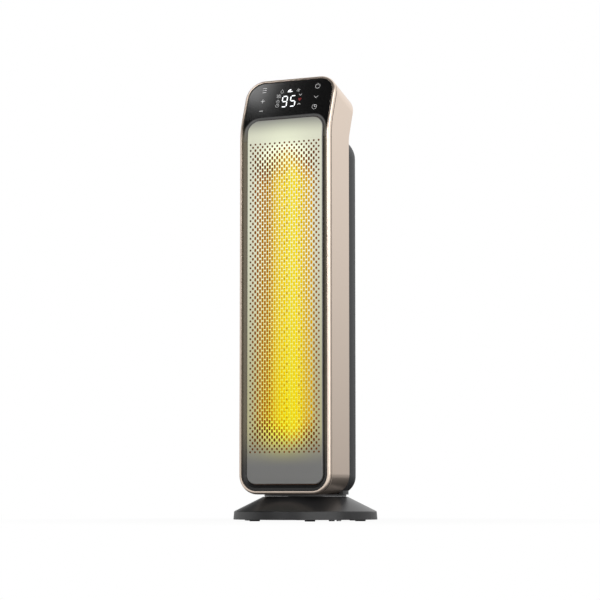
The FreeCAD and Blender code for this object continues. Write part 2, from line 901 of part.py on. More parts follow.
# Champagne band and lip: the same bent outline at two depths.
def soft_back(thing, inset):
    """Round the rear corner of the head in the side view."""
    back_round = f"head_back_round - ({inset})"
    corners, arcs = bent_profile("-overrun", f"body_depth - ({inset})", inset, "0", back_round)
    return common(thing, pad("YZ_Plane", corners, "2 * body_width", arcs, both=True))


def build_band():
    start = "(lip_depth + groove_width)"
    loop = bent_block(start, "body_depth", "0")
    front_edges = rim_edges(loop.Tip.Shape, value(start))
    rounded(loop, "PartDesign::Fillet", {"Radius": "band_edge_round"}, front_edges)
    doc.recompute()
    outer = soft_back(loop, "0")
    inner = bent_block(f"{start} - overrun", "body_depth + overrun", "band_wall")
    screw_holes = [
        cylinder(
            "screw_radius + screw_gap" if angle == 0 else "boss_radius + running_gap",
            "band_wall + overrun",
            *around("chassis_screw_ring", angle),
            "turntable_level - overrun / 2",
        )
        for angle in CROSS_ANGLES
    ]
    wire_hole = cylinder(
        "bearing_radius - spindle_wall",
        "band_wall + overrun",
        z="turntable_level - overrun / 2",
    )
    node("side_band", cut(outer, inner, group([*screw_holes, wire_hole])))


def build_lip():
    outer = bent_block("0", "lip_depth", "0")
    rounded(outer, "PartDesign::Fillet", {"Radius": "lip_round"}, rim_edges(outer.Tip.Shape, 0))
    inner = bent_block("-overrun", "lip_depth + tongue_depth + overrun", "lip_width")
    tongue = bent_block("lip_depth", "lip_depth + tongue_depth", "band_wall + seat_gap")
    node("front_trim", cut(fuse(outer, tongue), inner))


# Bezel ring round the grille, its inner edge sloped, split where the head starts to lean.
BEZEL_INSET = "(lip_width + seat_gap)"
BEZEL_BACK = "(bezel_sink + bezel_depth)"
FRAME_BACK = f"({BEZEL_BACK} + frame_thick)"


def opening(margin):
    """Corners and arcs of the grille's outline, grown by a margin."""
    return rounded_box(
        f"grille_half_width + ({margin})",
        f"grille_low - ({margin})",
        f"grille_high + ({margin})",
        f"grille_corner_low + ({margin})",
        f"grille_corner_high + ({margin})",
    )


def in_opening(point, margin):
    """True for a point on or inside the grille's outline, grown by a margin."""
    half, low, high = (
        value(side)
        for side in (f"grille_half_width + {margin}", f"grille_low - {margin}", f"grille_high + {margin}")
    )
    outside = max(abs(point.x) - half, low - point.z, point.z - high, 0)
    return same(outside, 0)


def build_bezel():
    ring = bent_block("bezel_sink", BEZEL_BACK, BEZEL_INSET)
    corners, arcs = opening("grille_gap")
    hole = outline(ring, "XZ_Plane", corners, arcs)
    pocket = ring.newObject("PartDesign::Pocket", "Opening")
    pocket.Profile = hole
    pocket.SideType = "Symmetric"
    bind(pocket, {"Length": f"2 * {LONG}"})
    doc.recompute()
    names = [
        name
        for name in rim_edges(ring.Tip.Shape, value("bezel_sink"))
        if all(in_opening(point, "grille_gap") for point in points_along(ring.Tip.Shape.getElement(name)))
    ]
    slope = {"Size": "bezel_slope_width", "Size2": "bezel_slope_depth"}
    rounded(ring, "PartDesign::Chamfer", slope, names).Tip.ChamferType = "Two distances"
    doc.recompute()
    reach = "(base_radius + overrun)"
    lower = block((f"-{reach}", reach), (f"-{reach}", reach), ("0", "bend_level - bezel_split_gap / 2"))
    upper = block(
        (f"-{reach}", reach),
        (f"-{reach}", reach),
        ("bend_level + bezel_split_gap / 2", "bend_level + bend_radius + head_rise"),
    )
    node("front_bezel", common(ring, lower))
    node("control_panel", common(ring, upper))


def build_front_frame():
    plate = bent_block(BEZEL_BACK, FRAME_BACK, BEZEL_INSET)
    corners, arcs = rounded_box(
        "field_half_width + outlet_margin",
        "field_low - 2 * outlet_margin",
        "bend_level",
        "outlet_margin",
        "outlet_margin",
    )
    window = pad("XZ_Plane", corners, f"2 * {LONG}", arcs, both=True)
    node("front_frame", cut(plate, window))


# Grille: a formed tray whose flat face holds staggered slots that grow towards the middle.
def slot_places():
    """Centre and length of every slot, rows staggered by half a pitch."""
    half, low, high = value("field_half_width"), value("field_low"), value("field_high")
    step_x = 2 * half / (SLOT_COLUMNS - 1)
    step_z = (high - low) / (SLOT_ROWS - 1)
    for stagger in (0, 1):
        for row in range(SLOT_ROWS - stagger):
            for column in range(SLOT_COLUMNS - stagger):
                x = -half + (column + stagger / 2) * step_x
                z = low + (row + stagger / 2) * step_z
                across = (half - abs(x)) / value("fade_across")
                along = min(z - low, high - z) / value("fade_along")
                growth = min(across, along, 1)
                yield x, z, value("slot_short") + growth * value("slot_long - slot_short")


def slot_wire(x, y, z, length):
    """An upright slot with pointed ends, wound against the sheet's own outline."""
    half = value("slot_width") / 2
    straight = length / 2 - half
    points = [
        Vector(x - half, y, z - straight),
        Vector(x, y, z - length / 2),
        Vector(x + half, y, z - straight),
        Vector(x + half, y, z + straight),
        Vector(x, y, z + length / 2),
        Vector(x - half, y, z + straight),
    ]
    return Part.makePolygon(points[::-1] + points[-1:])


def build_grille():
    back = f"({BEZEL_BACK})"
    outer = common(
        bent_block("grille_sink", back, "lip_width"),
        pad("XZ_Plane", *padded_opening("0")),
    )
    inner = common(
        bent_block("grille_sink + grille_thick", f"{back} + overrun", "lip_width"),
        pad("XZ_Plane", *padded_opening("-grille_thick")),
    )
    y = value(f"{FRONT} + grille_sink")
    margin = value("slot_long")
    half, low, high = value("field_half_width"), value("field_low"), value("field_high")
    edge = value("outlet_margin")
    frame = Part.makePolygon(
        [
            Vector(-half - edge, y, low - margin),
            Vector(half + edge, y, low - margin),
            Vector(half + edge, y, high + edge),
            Vector(-half - edge, y, high + edge),
            Vector(-half - edge, y, low - margin),
        ]
    )
    slots = [Part.Wire(slot_wire(x, y, z, length)) for x, z, length in slot_places()]
    sheet_face = Part.Face([Part.Wire(frame), *slots])
    perforated = sheet_face.extrude(BACK * value("grille_thick"))
    gap = block(
        ("-field_half_width - outlet_margin", "field_half_width + outlet_margin"),
        (f"{FRONT} + grille_sink - overrun", f"{FRONT} + grille_sink + grille_thick"),
        ("field_low - slot_long", "field_high + outlet_margin"),
    )
    tray = cut(cut(outer, inner), gap)
    doc.recompute()
    node("grille", feature(tray.Shape.fuse(perforated)))


def padded_opening(margin):
    """Arguments of a prism through the tower with the grille's outline."""
    corners, arcs = opening(margin)
    return corners, f"2 * {LONG}", arcs, "0", True


# Chassis: a round floor on bosses, with posts that carry the lower deck.
CHASSIS_TOP = "(chassis_level + chassis_thick)"


def build_chassis():
    floor = cylinder("chassis_radius", "chassis_thick", z="chassis_level")
    posts = [
        cylinder(
            "boss_radius",
            f"lower_deck_level - {CHASSIS_TOP} + chassis_thick / 2",
            *around("deck_post_ring", angle),
            f"{CHASSIS_TOP} - chassis_thick / 2",
        )
        for angle in DIAGONAL_ANGLES
    ]
    bosses = []
    for angle in CROSS_ANGLES:
        low = "turntable_level + band_wall" if angle == 0 else "turntable_level"
        height = f"chassis_level + chassis_thick / 2 - ({low})"
        bosses.append(cylinder("boss_radius", height, *around("chassis_screw_ring", angle), low))
    holes = [
        cylinder(
            "screw_radius + screw_gap",
            "chassis_level + chassis_thick + overrun - turntable_level",
            *around("chassis_screw_ring", angle),
            "turntable_level - overrun / 2",
        )
        for angle in CROSS_ANGLES
    ]
    wires = cylinder(
        "wire_hole_radius",
        "chassis_thick + overrun",
        "0",
        "-wire_hole_reach",
        "chassis_level - overrun / 2",
    )
    node("chassis", cut(fuse(floor, *posts, *bosses), *holes, wires))
    length = f"({CHASSIS_TOP} - turntable_level + turntable_thick)"
    places = [around("chassis_screw_ring", angle) for angle in CROSS_ANGLES]
    node("chassis_screws", group([screw(length, *spot, CHASSIS_TOP, True) for spot in places]))


# Air path between the two decks: outlet duct, scroll and tongue.
LOWER_DECK_TOP = "(lower_deck_level + deck_thick)"
DUCT_FRONT = f"({FRONT} + {FRAME_BACK})"
DUCT_OUTER = "(duct_half_width + duct_wall)"
FAN_HEIGHT = f"(upper_deck_level - {LOWER_DECK_TOP})"


def deck(level, hole_radius):
    """A round partition, flat behind the duct's flange, with a hole on the fan's axis."""
    disc = cylinder("deck_round_radius", "deck_thick", z=level)
    behind = block(
        ("-base_radius", "base_radius"),
        (f"{DUCT_FRONT} + duct_wall + seat_gap", "base_radius"),
        (f"{level} - overrun", f"{level} + deck_thick + overrun"),
    )
    hole = cylinder(hole_radius, "deck_thick + overrun", "0", "fan_set_back", f"{level} - overrun / 2")
    return cut(common(disc, behind), hole)


def build_air_path():
    node("lower_deck", deck("lower_deck_level", "hub_radius + hub_clear"))
    node("upper_deck", deck("upper_deck_level", "bush_radius + screw_gap"))
    tube = block(
        (f"-{DUCT_OUTER}", DUCT_OUTER), (DUCT_FRONT, "-duct_back"), (LOWER_DECK_TOP, "upper_deck_level")
    )
    flange = block(
        ("-field_half_width - 2 * outlet_margin", "field_half_width + 2 * outlet_margin"),
        (DUCT_FRONT, f"{DUCT_FRONT} + duct_wall"),
        ("field_low - 2 * outlet_margin", "bend_level"),
    )
    way = block(
        ("-duct_half_width", "duct_half_width"),
        (f"{DUCT_FRONT} - overrun", "-duct_back + overrun"),
        (f"{LOWER_DECK_TOP} + duct_wall", "upper_deck_level - duct_wall"),
    )
    node("heater_frame", cut(fuse(tube, flange), way))
    radius = "(duct_half_width - scroll_shift)"
    outer = f"({radius} + duct_wall)"
    ends = [
        (
            f"-scroll_shift + {reach} * cos(scroll_end_angle)",
            f"fan_set_back + {reach} * sin(scroll_end_angle)",
        )
        for reach in (radius, outer)
    ]
    scroll = [
        ("-duct_half_width", "-duct_back"),
        ("-duct_half_width", "fan_set_back"),
        ends[0],
        ends[1],
        (f"-{DUCT_OUTER}", "fan_set_back"),
        (f"-{DUCT_OUTER}", "-duct_back"),
    ]
    arcs = {1: (radius, -1), 3: (outer, 1)}
    node("scroll_wall", pad("XY_Plane", scroll, FAN_HEIGHT, arcs, level=LOWER_DECK_TOP))
    near = "(wheel_radius + tongue_gap)"
    far = f"({near} + duct_wall)"
    tongue = [
        ("duct_half_width", "-duct_back"),
        (DUCT_OUTER, "-duct_back"),
        (f"{far} * cos(tongue_angle)", f"fan_set_back - {far} * sin(tongue_angle) + duct_wall"),
        (f"{near} * cos(tongue_angle)", f"fan_set_back - {near} * sin(tongue_angle)"),
    ]
    node("tongue_wall", pad("XY_Plane", tongue, FAN_HEIGHT, level=LOWER_DECK_TOP))
    sensor = cylinder(
        "cutout_radius",
        "cutout_height",
        DUCT_OUTER,
        "-cutout_reach",
        "upper_deck_level - cutout_drop",
        RIGHT,
    )
    node("thermal_cutout", sensor)


# Fan: a cross-flow wheel between its motor below and a bush above.
WHEEL_LOW = f"({LOWER_DECK_TOP} + wheel_low_gap)"
WHEEL_TOP = "(upper_deck_level - wheel_high_gap)"
BUSH_LOW = "(upper_deck_level - bush_drop)"


def blade_face():
    """The section of one forward-curved blade, two arcs from the rim inwards."""
    outer = value("wheel_radius") - value("blade_thick")
    inner = outer - value("blade_depth")
    rake = math.radians(value("blade_rake_angle"))
    bow = value("blade_depth") * BOW_SHARE
    thick = value("blade_thick")
    start = Vector(outer, 0, 0)
    end = Vector(inner * math.cos(rake), -inner * math.sin(rake), 0)
    along = (end - start).normalize()
    side = Vector(-along.y, along.x, 0)
    middle = (start + end) / 2
    near = Part.Arc(start, middle + side * bow, end).toShape()
    shift = side * thick
    far = Part.Arc(end + shift, middle + side * (bow + thick), start + shift).toShape()
    sides = [near, Part.makeLine(end, end + shift), far, Part.makeLine(start + shift, start)]
    return Part.Face(Part.Wire(sides))


def build_fan():
    low, top = value(WHEEL_LOW), value(WHEEL_TOP)
    centre = Vector(0, value("fan_set_back"), 0)
    disc = value("wheel_disc")
    blade = blade_face().translated(UP * low).extrude(UP * (top - low))
    blades = []
    for count in range(BLADE_COUNT):
        turned_blade = blade.copy()
        turned_blade.rotate(Vector(), UP, 360 * count / BLADE_COUNT)
        blades.append(turned_blade)
    step = (top - low - disc) / WHEEL_SECTIONS
    rings = []
    for count in range(WHEEL_SECTIONS + 1):
        level = UP * (low + count * step)
        ring = Part.makeCylinder(value("wheel_radius"), disc, level)
        if 0 < count < WHEEL_SECTIONS:
            hole = value("wheel_radius - 2 * blade_thick - blade_depth")
            ring = ring.cut(Part.makeCylinder(hole, disc, level))
        rings.append(ring)
    hub_low = value(f"{WHEEL_LOW} + wheel_disc - hub_height")
    hub = Part.makeCylinder(value("hub_radius"), value("hub_height"), UP * hub_low)
    stub_top = value("upper_deck_level + deck_thick - running_gap")
    stub = Part.makeCylinder(value("stub_radius"), stub_top - top + disc, UP * (top - disc))
    bore = Part.makeCylinder(value("shaft_radius + shaft_gap"), value("hub_height"), UP * hub_low)
    wheel = rings[0].multiFuse([*rings[1:], *blades, hub, stub]).cut(bore).removeSplitter()
    node("fan_wheel", feature(wheel.translated(centre)))
    shaft_low = f"{CHASSIS_TOP} + motor_height - shaft_sink"
    shaft_top = f"({WHEEL_LOW} + wheel_disc)"
    node(
        "fan_shaft",
        cylinder("shaft_radius", f"{shaft_top} - ({shaft_low})", "0", "fan_set_back", shaft_low),
    )
    bush = cylinder(
        "bush_radius",
        "deck_thick + bush_drop",
        "0",
        "fan_set_back",
        BUSH_LOW,
    )
    bush_bore = cylinder(
        "stub_radius + shaft_gap",
        "deck_thick + bush_drop + overrun",
        "0",
        "fan_set_back",
        f"{BUSH_LOW} - overrun / 2",
    )
    node("fan_bush", cut(bush, bush_bore))
    can = cylinder("motor_radius", "motor_height", "0", "fan_set_back", CHASSIS_TOP)
    boss = cylinder(
        "motor_boss_radius",
        "motor_boss_height",
        "0",
        "fan_set_back",
        f"{CHASSIS_TOP} + motor_height",
    )
    sink = cylinder(
        "shaft_radius + shaft_gap",
        "shaft_sink + motor_boss_height + overrun",
        "0",
        "fan_set_back",
        f"{shaft_low} - running_gap",
    )
    node("blower_motor", cut(fuse(can, boss), sink))


# Heating element: ceramic bars with corrugated fins between them.
HOLDER_LOW = f"({LOWER_DECK_TOP} + duct_wall)"
HOLDER_TOP = "(upper_deck_level - duct_wall)"
ELEMENT_HALF = "(duct_half_width - element_gap)"
FIN_WIDTH = f"((2 * {ELEMENT_HALF} - {BAR_COUNT} * bar_width) / {BAR_COUNT + 1})"


def fin_solid(left):
    """One corrugated strip from a left edge formula: a zigzag band with straight folds."""
    low = value(f"{HOLDER_LOW} + holder_height + element_gap")
    high = value(f"{HOLDER_TOP} - holder_height - element_gap")
    start = value(f"{left} + element_gap")
    width = value(f"{FIN_WIDTH} - 2 * element_gap")
    thick = value("fin_thick")
    folds = max(int((high - low) / value("fin_pitch")), 1)
    step = (high - low) / folds
    shift = thick * width / (2 * step)
    y = value("-element_front")
    under, over = [], []
    for fold in range(folds + 1):
        x = start + shift + (width - 2 * shift) * (fold % 2)
        under.append(Vector(x - shift, y, low + fold * step))
        over.append(Vector(x + shift, y, low + fold * step))
    points = under + over[::-1]
    depth = value("element_front - element_back")
    return Part.Face(Part.makePolygon(points + points[:1])).extrude(BACK * depth)


def build_element():
    holders = [
        block(
            (f"-{ELEMENT_HALF}", ELEMENT_HALF),
            ("-holder_front", "-holder_back"),
            (low, f"{low} + holder_height"),
        )
        for low in (HOLDER_LOW, f"({HOLDER_TOP} - holder_height)")
    ]
    node("heater_holders", group(holders))
    bars, fins = [], []
    for count in range(BAR_COUNT + 1):
        left = f"(-{ELEMENT_HALF} + {count} * ({FIN_WIDTH} + bar_width))"
        fins.append(fin_solid(left))
        if count < BAR_COUNT:
            bar_left = f"({left} + {FIN_WIDTH})"
            bars.append(
                block(
                    (bar_left, f"{bar_left} + bar_width"),
                    ("-element_front", "-element_back"),
                    (f"{HOLDER_LOW} + holder_height", f"{HOLDER_TOP} - holder_height"),
                )
            )
    node("ptc_bars", group(bars))
    node("fin_stacks", feature(Part.makeCompound(fins)))


# Boards: power electronics under the lower deck, display behind the touch panel.
def build_boards():
    front = "-main_board_reach"
    back = f"({front} + board_thick)"
    node(
        "main_board",
        block(
            ("-main_board_half", "main_board_half"),
            (front, back),
            (CHASSIS_TOP, f"{CHASSIS_TOP} + main_board_height"),
        ),
    )
    relays = [
        block(
            (f"{side} * relay_spread - relay_length / 2", f"{side} * relay_spread + relay_length / 2"),
            (back, f"{back} + relay_depth"),
            (f"{CHASSIS_TOP} + relay_rise", f"{CHASSIS_TOP} + relay_rise + relay_height"),
        )
        for side in (-1, 1)
    ]
    capacitor = cylinder(
        "capacitor_radius",
        "capacitor_length",
        "0",
        back,
        f"{CHASSIS_TOP} + capacitor_rise",
        BACK,
    )
    node("board_parts", group([*relays, capacitor]))
    display = doc.addObject("Part::Box", "Display")
    display.Placement = Placement(Vector(), Rotation(-RIGHT, value("lean_angle")))
    y, z = front_point(FRAME_BACK, "display_rise")
    bind(
        display,
        {
            "Length": "2 * display_half",
            "Width": "board_thick",
            "Height": "display_height",
            "Placement.Rotation.Angle": "lean_angle",
        },
    )
    node("display_board", place(display, "-display_half", y, z))


# Back: half-round cover with a dome, closed head and a pull-off intake panel with its filter.
WINDOW_SWEEP = "(180 - 2 * window_start_angle)"


def sector(radius, height, level, start, sweep):
    """A slice of a round bar about the tower's axis."""
    slice_of = cylinder(radius, height, z=level)
    slice_of.Placement = Placement(Vector(), Rotation(UP, value(start)))
    return place(bind(slice_of, {"Angle": sweep, "Placement.Rotation.Angle": start}), z=level)


def build_rear_cover():
    outer, inner = "rear_radius", "(rear_radius - rear_wall)"
    ring = "(pedestal_radius + pedestal_gap)"
    low_ring = "(rear_radius - rear_low_round)"
    low_level = "(turntable_level + rear_low_round)"
    inner_low = "(rear_low_round - rear_wall)"
    high_level = "(rear_top - rear_high_round)"
    high_ring = "(rear_radius - rear_high_round)"

    def foot(radius):
        """Where the low round meets the pedestal."""
        return f"{low_level} - sqrt({radius} * {radius} - ({ring} - {low_ring}) * ({ring} - {low_ring}))"

    profile = [
        (ring, foot("rear_low_round")),
        (outer, low_level),
        (outer, high_level),
        (high_ring, "rear_top"),
        ("0", "rear_top"),
        ("0", "rear_top - rear_wall"),
        (high_ring, "rear_top - rear_wall"),
        (inner, high_level),
        (inner, low_level),
        (ring, foot(inner_low)),
    ]
    arcs = {
        0: ("rear_low_round", 1),
        2: ("rear_high_round", 1),
        6: ("rear_high_round - rear_wall", -1),
        8: (inner_low, -1),
    }
    front_half = bent_block("-base_radius", "body_depth + rear_gap", "-overrun", low="0")
    window = sector(
        "rear_radius + overrun",
        "window_high - window_low",
        "window_low",
        "window_start_angle",
        WINDOW_SWEEP,
    )
    node("rear_cover", cut(cut(turned(profile, arcs), front_half), window))
    cover = bent_block(
        "body_depth - head_cover_inset - head_cover_thick",
        "body_depth - head_cover_inset",
        "band_wall + seat_gap",
        low="upper_deck_level + deck_thick",
    )
    node("head_cover", soft_back(cover, "head_cover_inset"))


def build_intake():
    gap_angle = "window_gap / rear_radius * 180 / pi"
    start = f"(window_start_angle + {gap_angle})"
    sweep = f"({WINDOW_SWEEP} - 2 * {gap_angle})"
    low, height = "(window_low + window_gap)", "(window_high - window_low - 2 * window_gap)"
    shell = cut(
        sector("rear_radius", height, low, start, sweep),
        cylinder("rear_radius - rear_wall", f"{height} + overrun", z=f"{low} - overrun / 2"),
    )
    step = value(f"{sweep} - 2 * vent_margin / rear_radius * 180 / pi") / VENT_COLUMNS
    first = value(f"{start} + vent_margin / rear_radius * 180 / pi") + step / 2
    clear = value(f"{height} - 2 * vent_margin + vent_rib") / VENT_ROWS
    wide, reach = value("vent_width"), value("rear_radius + overrun")
    depth = value("rear_wall + 2 * overrun")
    vents = []
    for column in range(VENT_COLUMNS):
        for row in range(VENT_ROWS):
            vent = Part.makeBox(depth, wide, clear - value("vent_rib"))
            vent.translate(Vector(reach - depth, -wide / 2, value(f"{low} + vent_margin") + row * clear))
            vent.rotate(Vector(), UP, first + column * step)
            vents.append(vent)
    node("filter_panel", cut(shell, feature(Part.makeCompound(vents))))
    filter_outer = "(rear_radius - rear_wall - filter_gap)"
    inset_angle = "filter_inset / rear_radius * 180 / pi"
    mesh = cut(
        sector(
            filter_outer,
            f"{height} - 2 * filter_inset",
            f"{low} + filter_inset",
            f"{start} + {inset_angle}",
            f"{sweep} - 2 * {inset_angle}",
        ),
        cylinder(f"{filter_outer} - filter_thick", f"{height} + overrun", z=f"{low} - overrun / 2"),
    )
    node("dust_filter", mesh)


build_base_shell()
build_base_plate()
build_base_fittings()
build_tip_over()
build_swing_drive()
build_turntable()
build_band()
build_lip()
build_bezel()
build_front_frame()
build_grille()
build_chassis()
build_air_path()
build_fan()
build_element()
build_boards()
build_rear_cover()
build_intake()

doc.recompute()
for thing in doc.Objects:
    if "Invalid" in thing.State or "Error" in thing.State:
        raise RuntimeError(f"{thing.Label} did not build: {thing.State}")
for label, thing in nodes.items():
    if thing.Shape.isNull() or not thing.Shape.isValid() or not thing.Shape.Solids:
        raise RuntimeError(f"{label} has no valid solid")
    thing.Shape.exportStep(f"parts/{label}.step")
    print(label, len(thing.Shape.Solids), round(thing.Shape.Volume))
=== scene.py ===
import math

import bmesh
import bpy
import numpy as np
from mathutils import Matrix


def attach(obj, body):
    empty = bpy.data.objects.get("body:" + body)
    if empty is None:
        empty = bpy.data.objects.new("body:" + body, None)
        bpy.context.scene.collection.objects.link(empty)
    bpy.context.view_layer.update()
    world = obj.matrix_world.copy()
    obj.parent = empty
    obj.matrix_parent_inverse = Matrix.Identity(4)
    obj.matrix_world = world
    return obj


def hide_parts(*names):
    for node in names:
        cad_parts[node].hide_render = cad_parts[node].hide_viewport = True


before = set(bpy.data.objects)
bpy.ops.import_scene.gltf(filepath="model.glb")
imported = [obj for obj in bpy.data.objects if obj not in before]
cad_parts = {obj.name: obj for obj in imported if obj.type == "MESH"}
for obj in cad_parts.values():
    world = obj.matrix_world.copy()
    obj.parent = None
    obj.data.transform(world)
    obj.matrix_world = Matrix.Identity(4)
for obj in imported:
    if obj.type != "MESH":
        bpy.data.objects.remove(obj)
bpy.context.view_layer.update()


# Base: a moulded black shell with an upright rim and a low cone, closed below by a painted
# steel plate on six rubber pads, all screwed together from underneath.
def wire(tree, node, **links):
    """Sets a node's sockets, given by name or as _number, to constants, or feeds them from other sockets."""
    for key, item in links.items():
        socket = node.inputs[int(key[1:])] if key[1:].isdigit() else node.inputs[key.replace("_", " ")]
        if isinstance(item, bpy.types.NodeSocket):
            tree.links.new(item, socket)
        else:
            socket.default_value = item


def add(tree, kind, settings=None, **links):
    """A new node of that kind with its settings and its sockets."""
    made = tree.nodes.new(kind)
    for key, item in (settings or {}).items():
        setattr(made, key, item)
    wire(tree, made, **links)
    return made


def shader(name, **links):
    """A new material, its tree and its principled shader with the sockets given."""
    material = bpy.data.materials.new(name)
    material.use_nodes = True
    tree = material.node_tree
    surface = tree.nodes["Principled BSDF"]
    wire(tree, surface, **links)
    return material, tree, surface


def object_place(tree):
    """The Object coordinates of the piece, in metres from the foot of the swing axis."""
    return add(tree, "ShaderNodeTexCoord").outputs["Object"]


def noise(tree, scale, detail=2.0):
    """A cloud from zero to one with that many grains to the metre."""
    place = object_place(tree)
    return add(tree, "ShaderNodeTexNoise", Vector=place, Scale=scale, Detail=detail).outputs["Fac"]


def tones(tree, factor, *colours):
    """A ramp through colours at even steps of the factor from zero to one."""
    ramp = add(tree, "ShaderNodeValToRGB", Fac=factor)
    stops = ramp.color_ramp.elements
    stops.remove(stops[1])
    for count, colour in enumerate(colours):
        stop = stops[0] if count == 0 else stops.new(count / (len(colours) - 1))
        stop.color = (*colour, 1.0)
    return ramp.outputs["Color"]


def bumped(tree, height, relief):
    """A normal that follows a height of that relief in metres, at half strength."""
    return add(tree, "ShaderNodeBump", Height=height, Strength=0.5, Distance=relief).outputs["Normal"]


def grained(name, dark, light, roughness, grain, relief, metallic=0.0):
    """Moulded or painted stuff: two close tones on a noise of that grain, and a bump of that relief."""
    material, tree, surface = shader(name, Roughness=roughness, Metallic=metallic)
    cloud = noise(tree, grain, detail=4.0)
    wire(tree, surface, Base_Color=tones(tree, cloud, dark, light), Normal=bumped(tree, cloud, relief))
    return material


def coat_nodes(material, *names):
    """Gives CAD nodes their finish."""
    for name in names:
        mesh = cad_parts[name].data
        mesh.materials.clear()
        mesh.materials.append(material)


base_black = grained(
    "base_black", dark=(0.015, 0.015, 0.016), light=(0.022, 0.022, 0.023),
    roughness=0.32, grain=1800.0, relief=0.00003,
)
plate_black = grained(
    "plate_black", dark=(0.022, 0.022, 0.022), light=(0.034, 0.034, 0.034),
    roughness=0.5, grain=900.0, relief=0.00003,
)
pad_rubber = grained(
    "pad_rubber", dark=(0.012, 0.012, 0.012), light=(0.022, 0.022, 0.022),
    roughness=0.85, grain=700.0, relief=0.00006,
)
plated_steel = grained(
    "plated_steel", dark=(0.42, 0.42, 0.43), light=(0.58, 0.58, 0.58),
    roughness=0.32, grain=300.0, relief=0.00002, metallic=1.0,
)
coat_nodes(base_black, "base_shell")
coat_nodes(plate_black, "base_plate")
coat_nodes(pad_rubber, "rubber_feet", "cord_gland")
coat_nodes(plated_steel, "base_screws")


# Swing drive and tip-over switch inside the base: a screwed-in stepper with pinion and gear in pale
# acetal, a slide ring under the neck, and a plunger that stands on the floor under a micro-switch.
pale_acetal = grained(
    "pale_acetal", dark=(0.66, 0.65, 0.60), light=(0.76, 0.75, 0.71),
    roughness=0.45, grain=500.0, relief=0.00003,
)
motor_can = grained(
    "motor_can", dark=(0.33, 0.33, 0.34), light=(0.45, 0.45, 0.45),
    roughness=0.35, grain=200.0, relief=0.00002, metallic=1.0,
)
switch_black = grained(
    "switch_black", dark=(0.02, 0.02, 0.021), light=(0.03, 0.03, 0.031),
    roughness=0.5, grain=900.0, relief=0.00003,
)
coat_nodes(pale_acetal, "swing_pinion", "swing_gear", "tip_plunger")
coat_nodes(motor_can, "swing_motor")
coat_nodes(switch_black, "tip_switch", "slide_ring")
coat_nodes(plated_steel, "motor_screws", "gear_clip")


# Turntable: a black moulded neck whose spindle turns in the base's collar, with the half-round
# pedestal under the rear cover.
neck_black = grained(
    "neck_black", dark=(0.026, 0.026, 0.027), light=(0.036, 0.036, 0.037),
    roughness=0.36, grain=1800.0, relief=0.00004,
)
coat_nodes(neck_black, "turntable")


# Chassis: a round floor on bosses that are screwed to the turntable, with posts under the lower of
# the two decks that close the fan's room, all moulded in dark plastic.
inner_black = grained(
    "inner_black", dark=(0.016, 0.015, 0.014), light=(0.026, 0.025, 0.023),
    roughness=0.6, grain=700.0, relief=0.00004,
)
coat_nodes(inner_black, "chassis", "lower_deck", "upper_deck")
coat_nodes(plated_steel, "chassis_screws")


# Heating element: ceramic bars with corrugated fins between them, held at both ends in a flanged
# duct, glowing from yellow along the middle to dark amber at the sides and the cooler ends.
element_low, element_high = 0.085, 0.530
cool_share, cool_run_low, cool_run_high = 0.88, 0.062, 0.072
soot_dark, soot_light = (0.020, 0.012, 0.004), (0.035, 0.020, 0.006)
core_reach = 0.060
core_tones = (
    (0.90, 0.70, 0.0), (0.84, 0.57, 0.0), (0.62, 0.29, 0.0), (0.28, 0.075, 0.0), (0.13, 0.03, 0.0),
)


def axes(tree):
    """The X, Y and Z of the Object coordinates of the piece."""
    split = add(tree, "ShaderNodeSeparateXYZ", Vector=object_place(tree))
    return split.outputs["X"], split.outputs["Y"], split.outputs["Z"]


def maths(tree, operation, first, second=0.0):
    """The result of one operation on one or two numbers."""
    return add(tree, "ShaderNodeMath", {"operation": operation}, _0=first, _1=second).outputs[0]


def mapped(tree, value, low, high, first, last):
    """A number that runs smoothly from first to last while the value runs from low to high."""
    ramp = add(
        tree, "ShaderNodeMapRange", {"interpolation_type": "SMOOTHSTEP"},
        Value=value, From_Min=low, From_Max=high, To_Min=first, To_Max=last,
    )
    return ramp.outputs[0]


def glowing(name, reach, *colours):
    """Sooty stuff whose light runs through colours out to a reach from the middle and at the cooler ends."""
    material, tree, surface = shader(name, Roughness=0.6, Specular_IOR_Level=0.2, Emission_Strength=1.0)
    across, _, level = axes(tree)
    share = maths(tree, "DIVIDE", maths(tree, "ABSOLUTE", across), reach)
    for end, run in ((element_low, cool_run_low), (element_high, -cool_run_high)):
        share = maths(tree, "ADD", share, mapped(tree, level, end, end + run, cool_share, 0.0))
    soot = tones(tree, noise(tree, scale=300.0), soot_dark, soot_light)
    wire(tree, surface, Base_Color=soot, Emission_Color=tones(tree, share, *colours))
    return material


hot_core = glowing("hot_core", core_reach, *core_tones)
coat_nodes(hot_core, "ptc_bars", "fin_stacks", "heater_frame", "heater_holders")
coat_nodes(plated_steel, "thermal_cutout")


# Cross-flow fan behind the element: a bladed wheel on a steel shaft between the motor and a rubber
# bush, in a moulded scroll and tongue. The wheel, the tongue and the scroll's inner skin carry painted
# light: they glow by their own emission as if lit by the element.
wheel_reach, wheel_tones = 0.055, ((0.66, 0.42, 0.0), (0.42, 0.14, 0.0), (0.12, 0.028, 0.0))
wall_reach, wall_tones = 0.120, ((0.72, 0.46, 0.0), (0.46, 0.24, 0.0))
scroll_shift, fan_set_back, scroll_radius, scroll_skin = 0.0043, 0.0140, 0.0357, 0.0005


def right_length(tree, first, second):
    """Length of the long side over two sides at right angles."""
    both = add(tree, "ShaderNodeCombineXYZ", X=first, Y=second).outputs[0]
    return add(tree, "ShaderNodeVectorMath", {"operation": "LENGTH"}, _0=both).outputs["Value"]


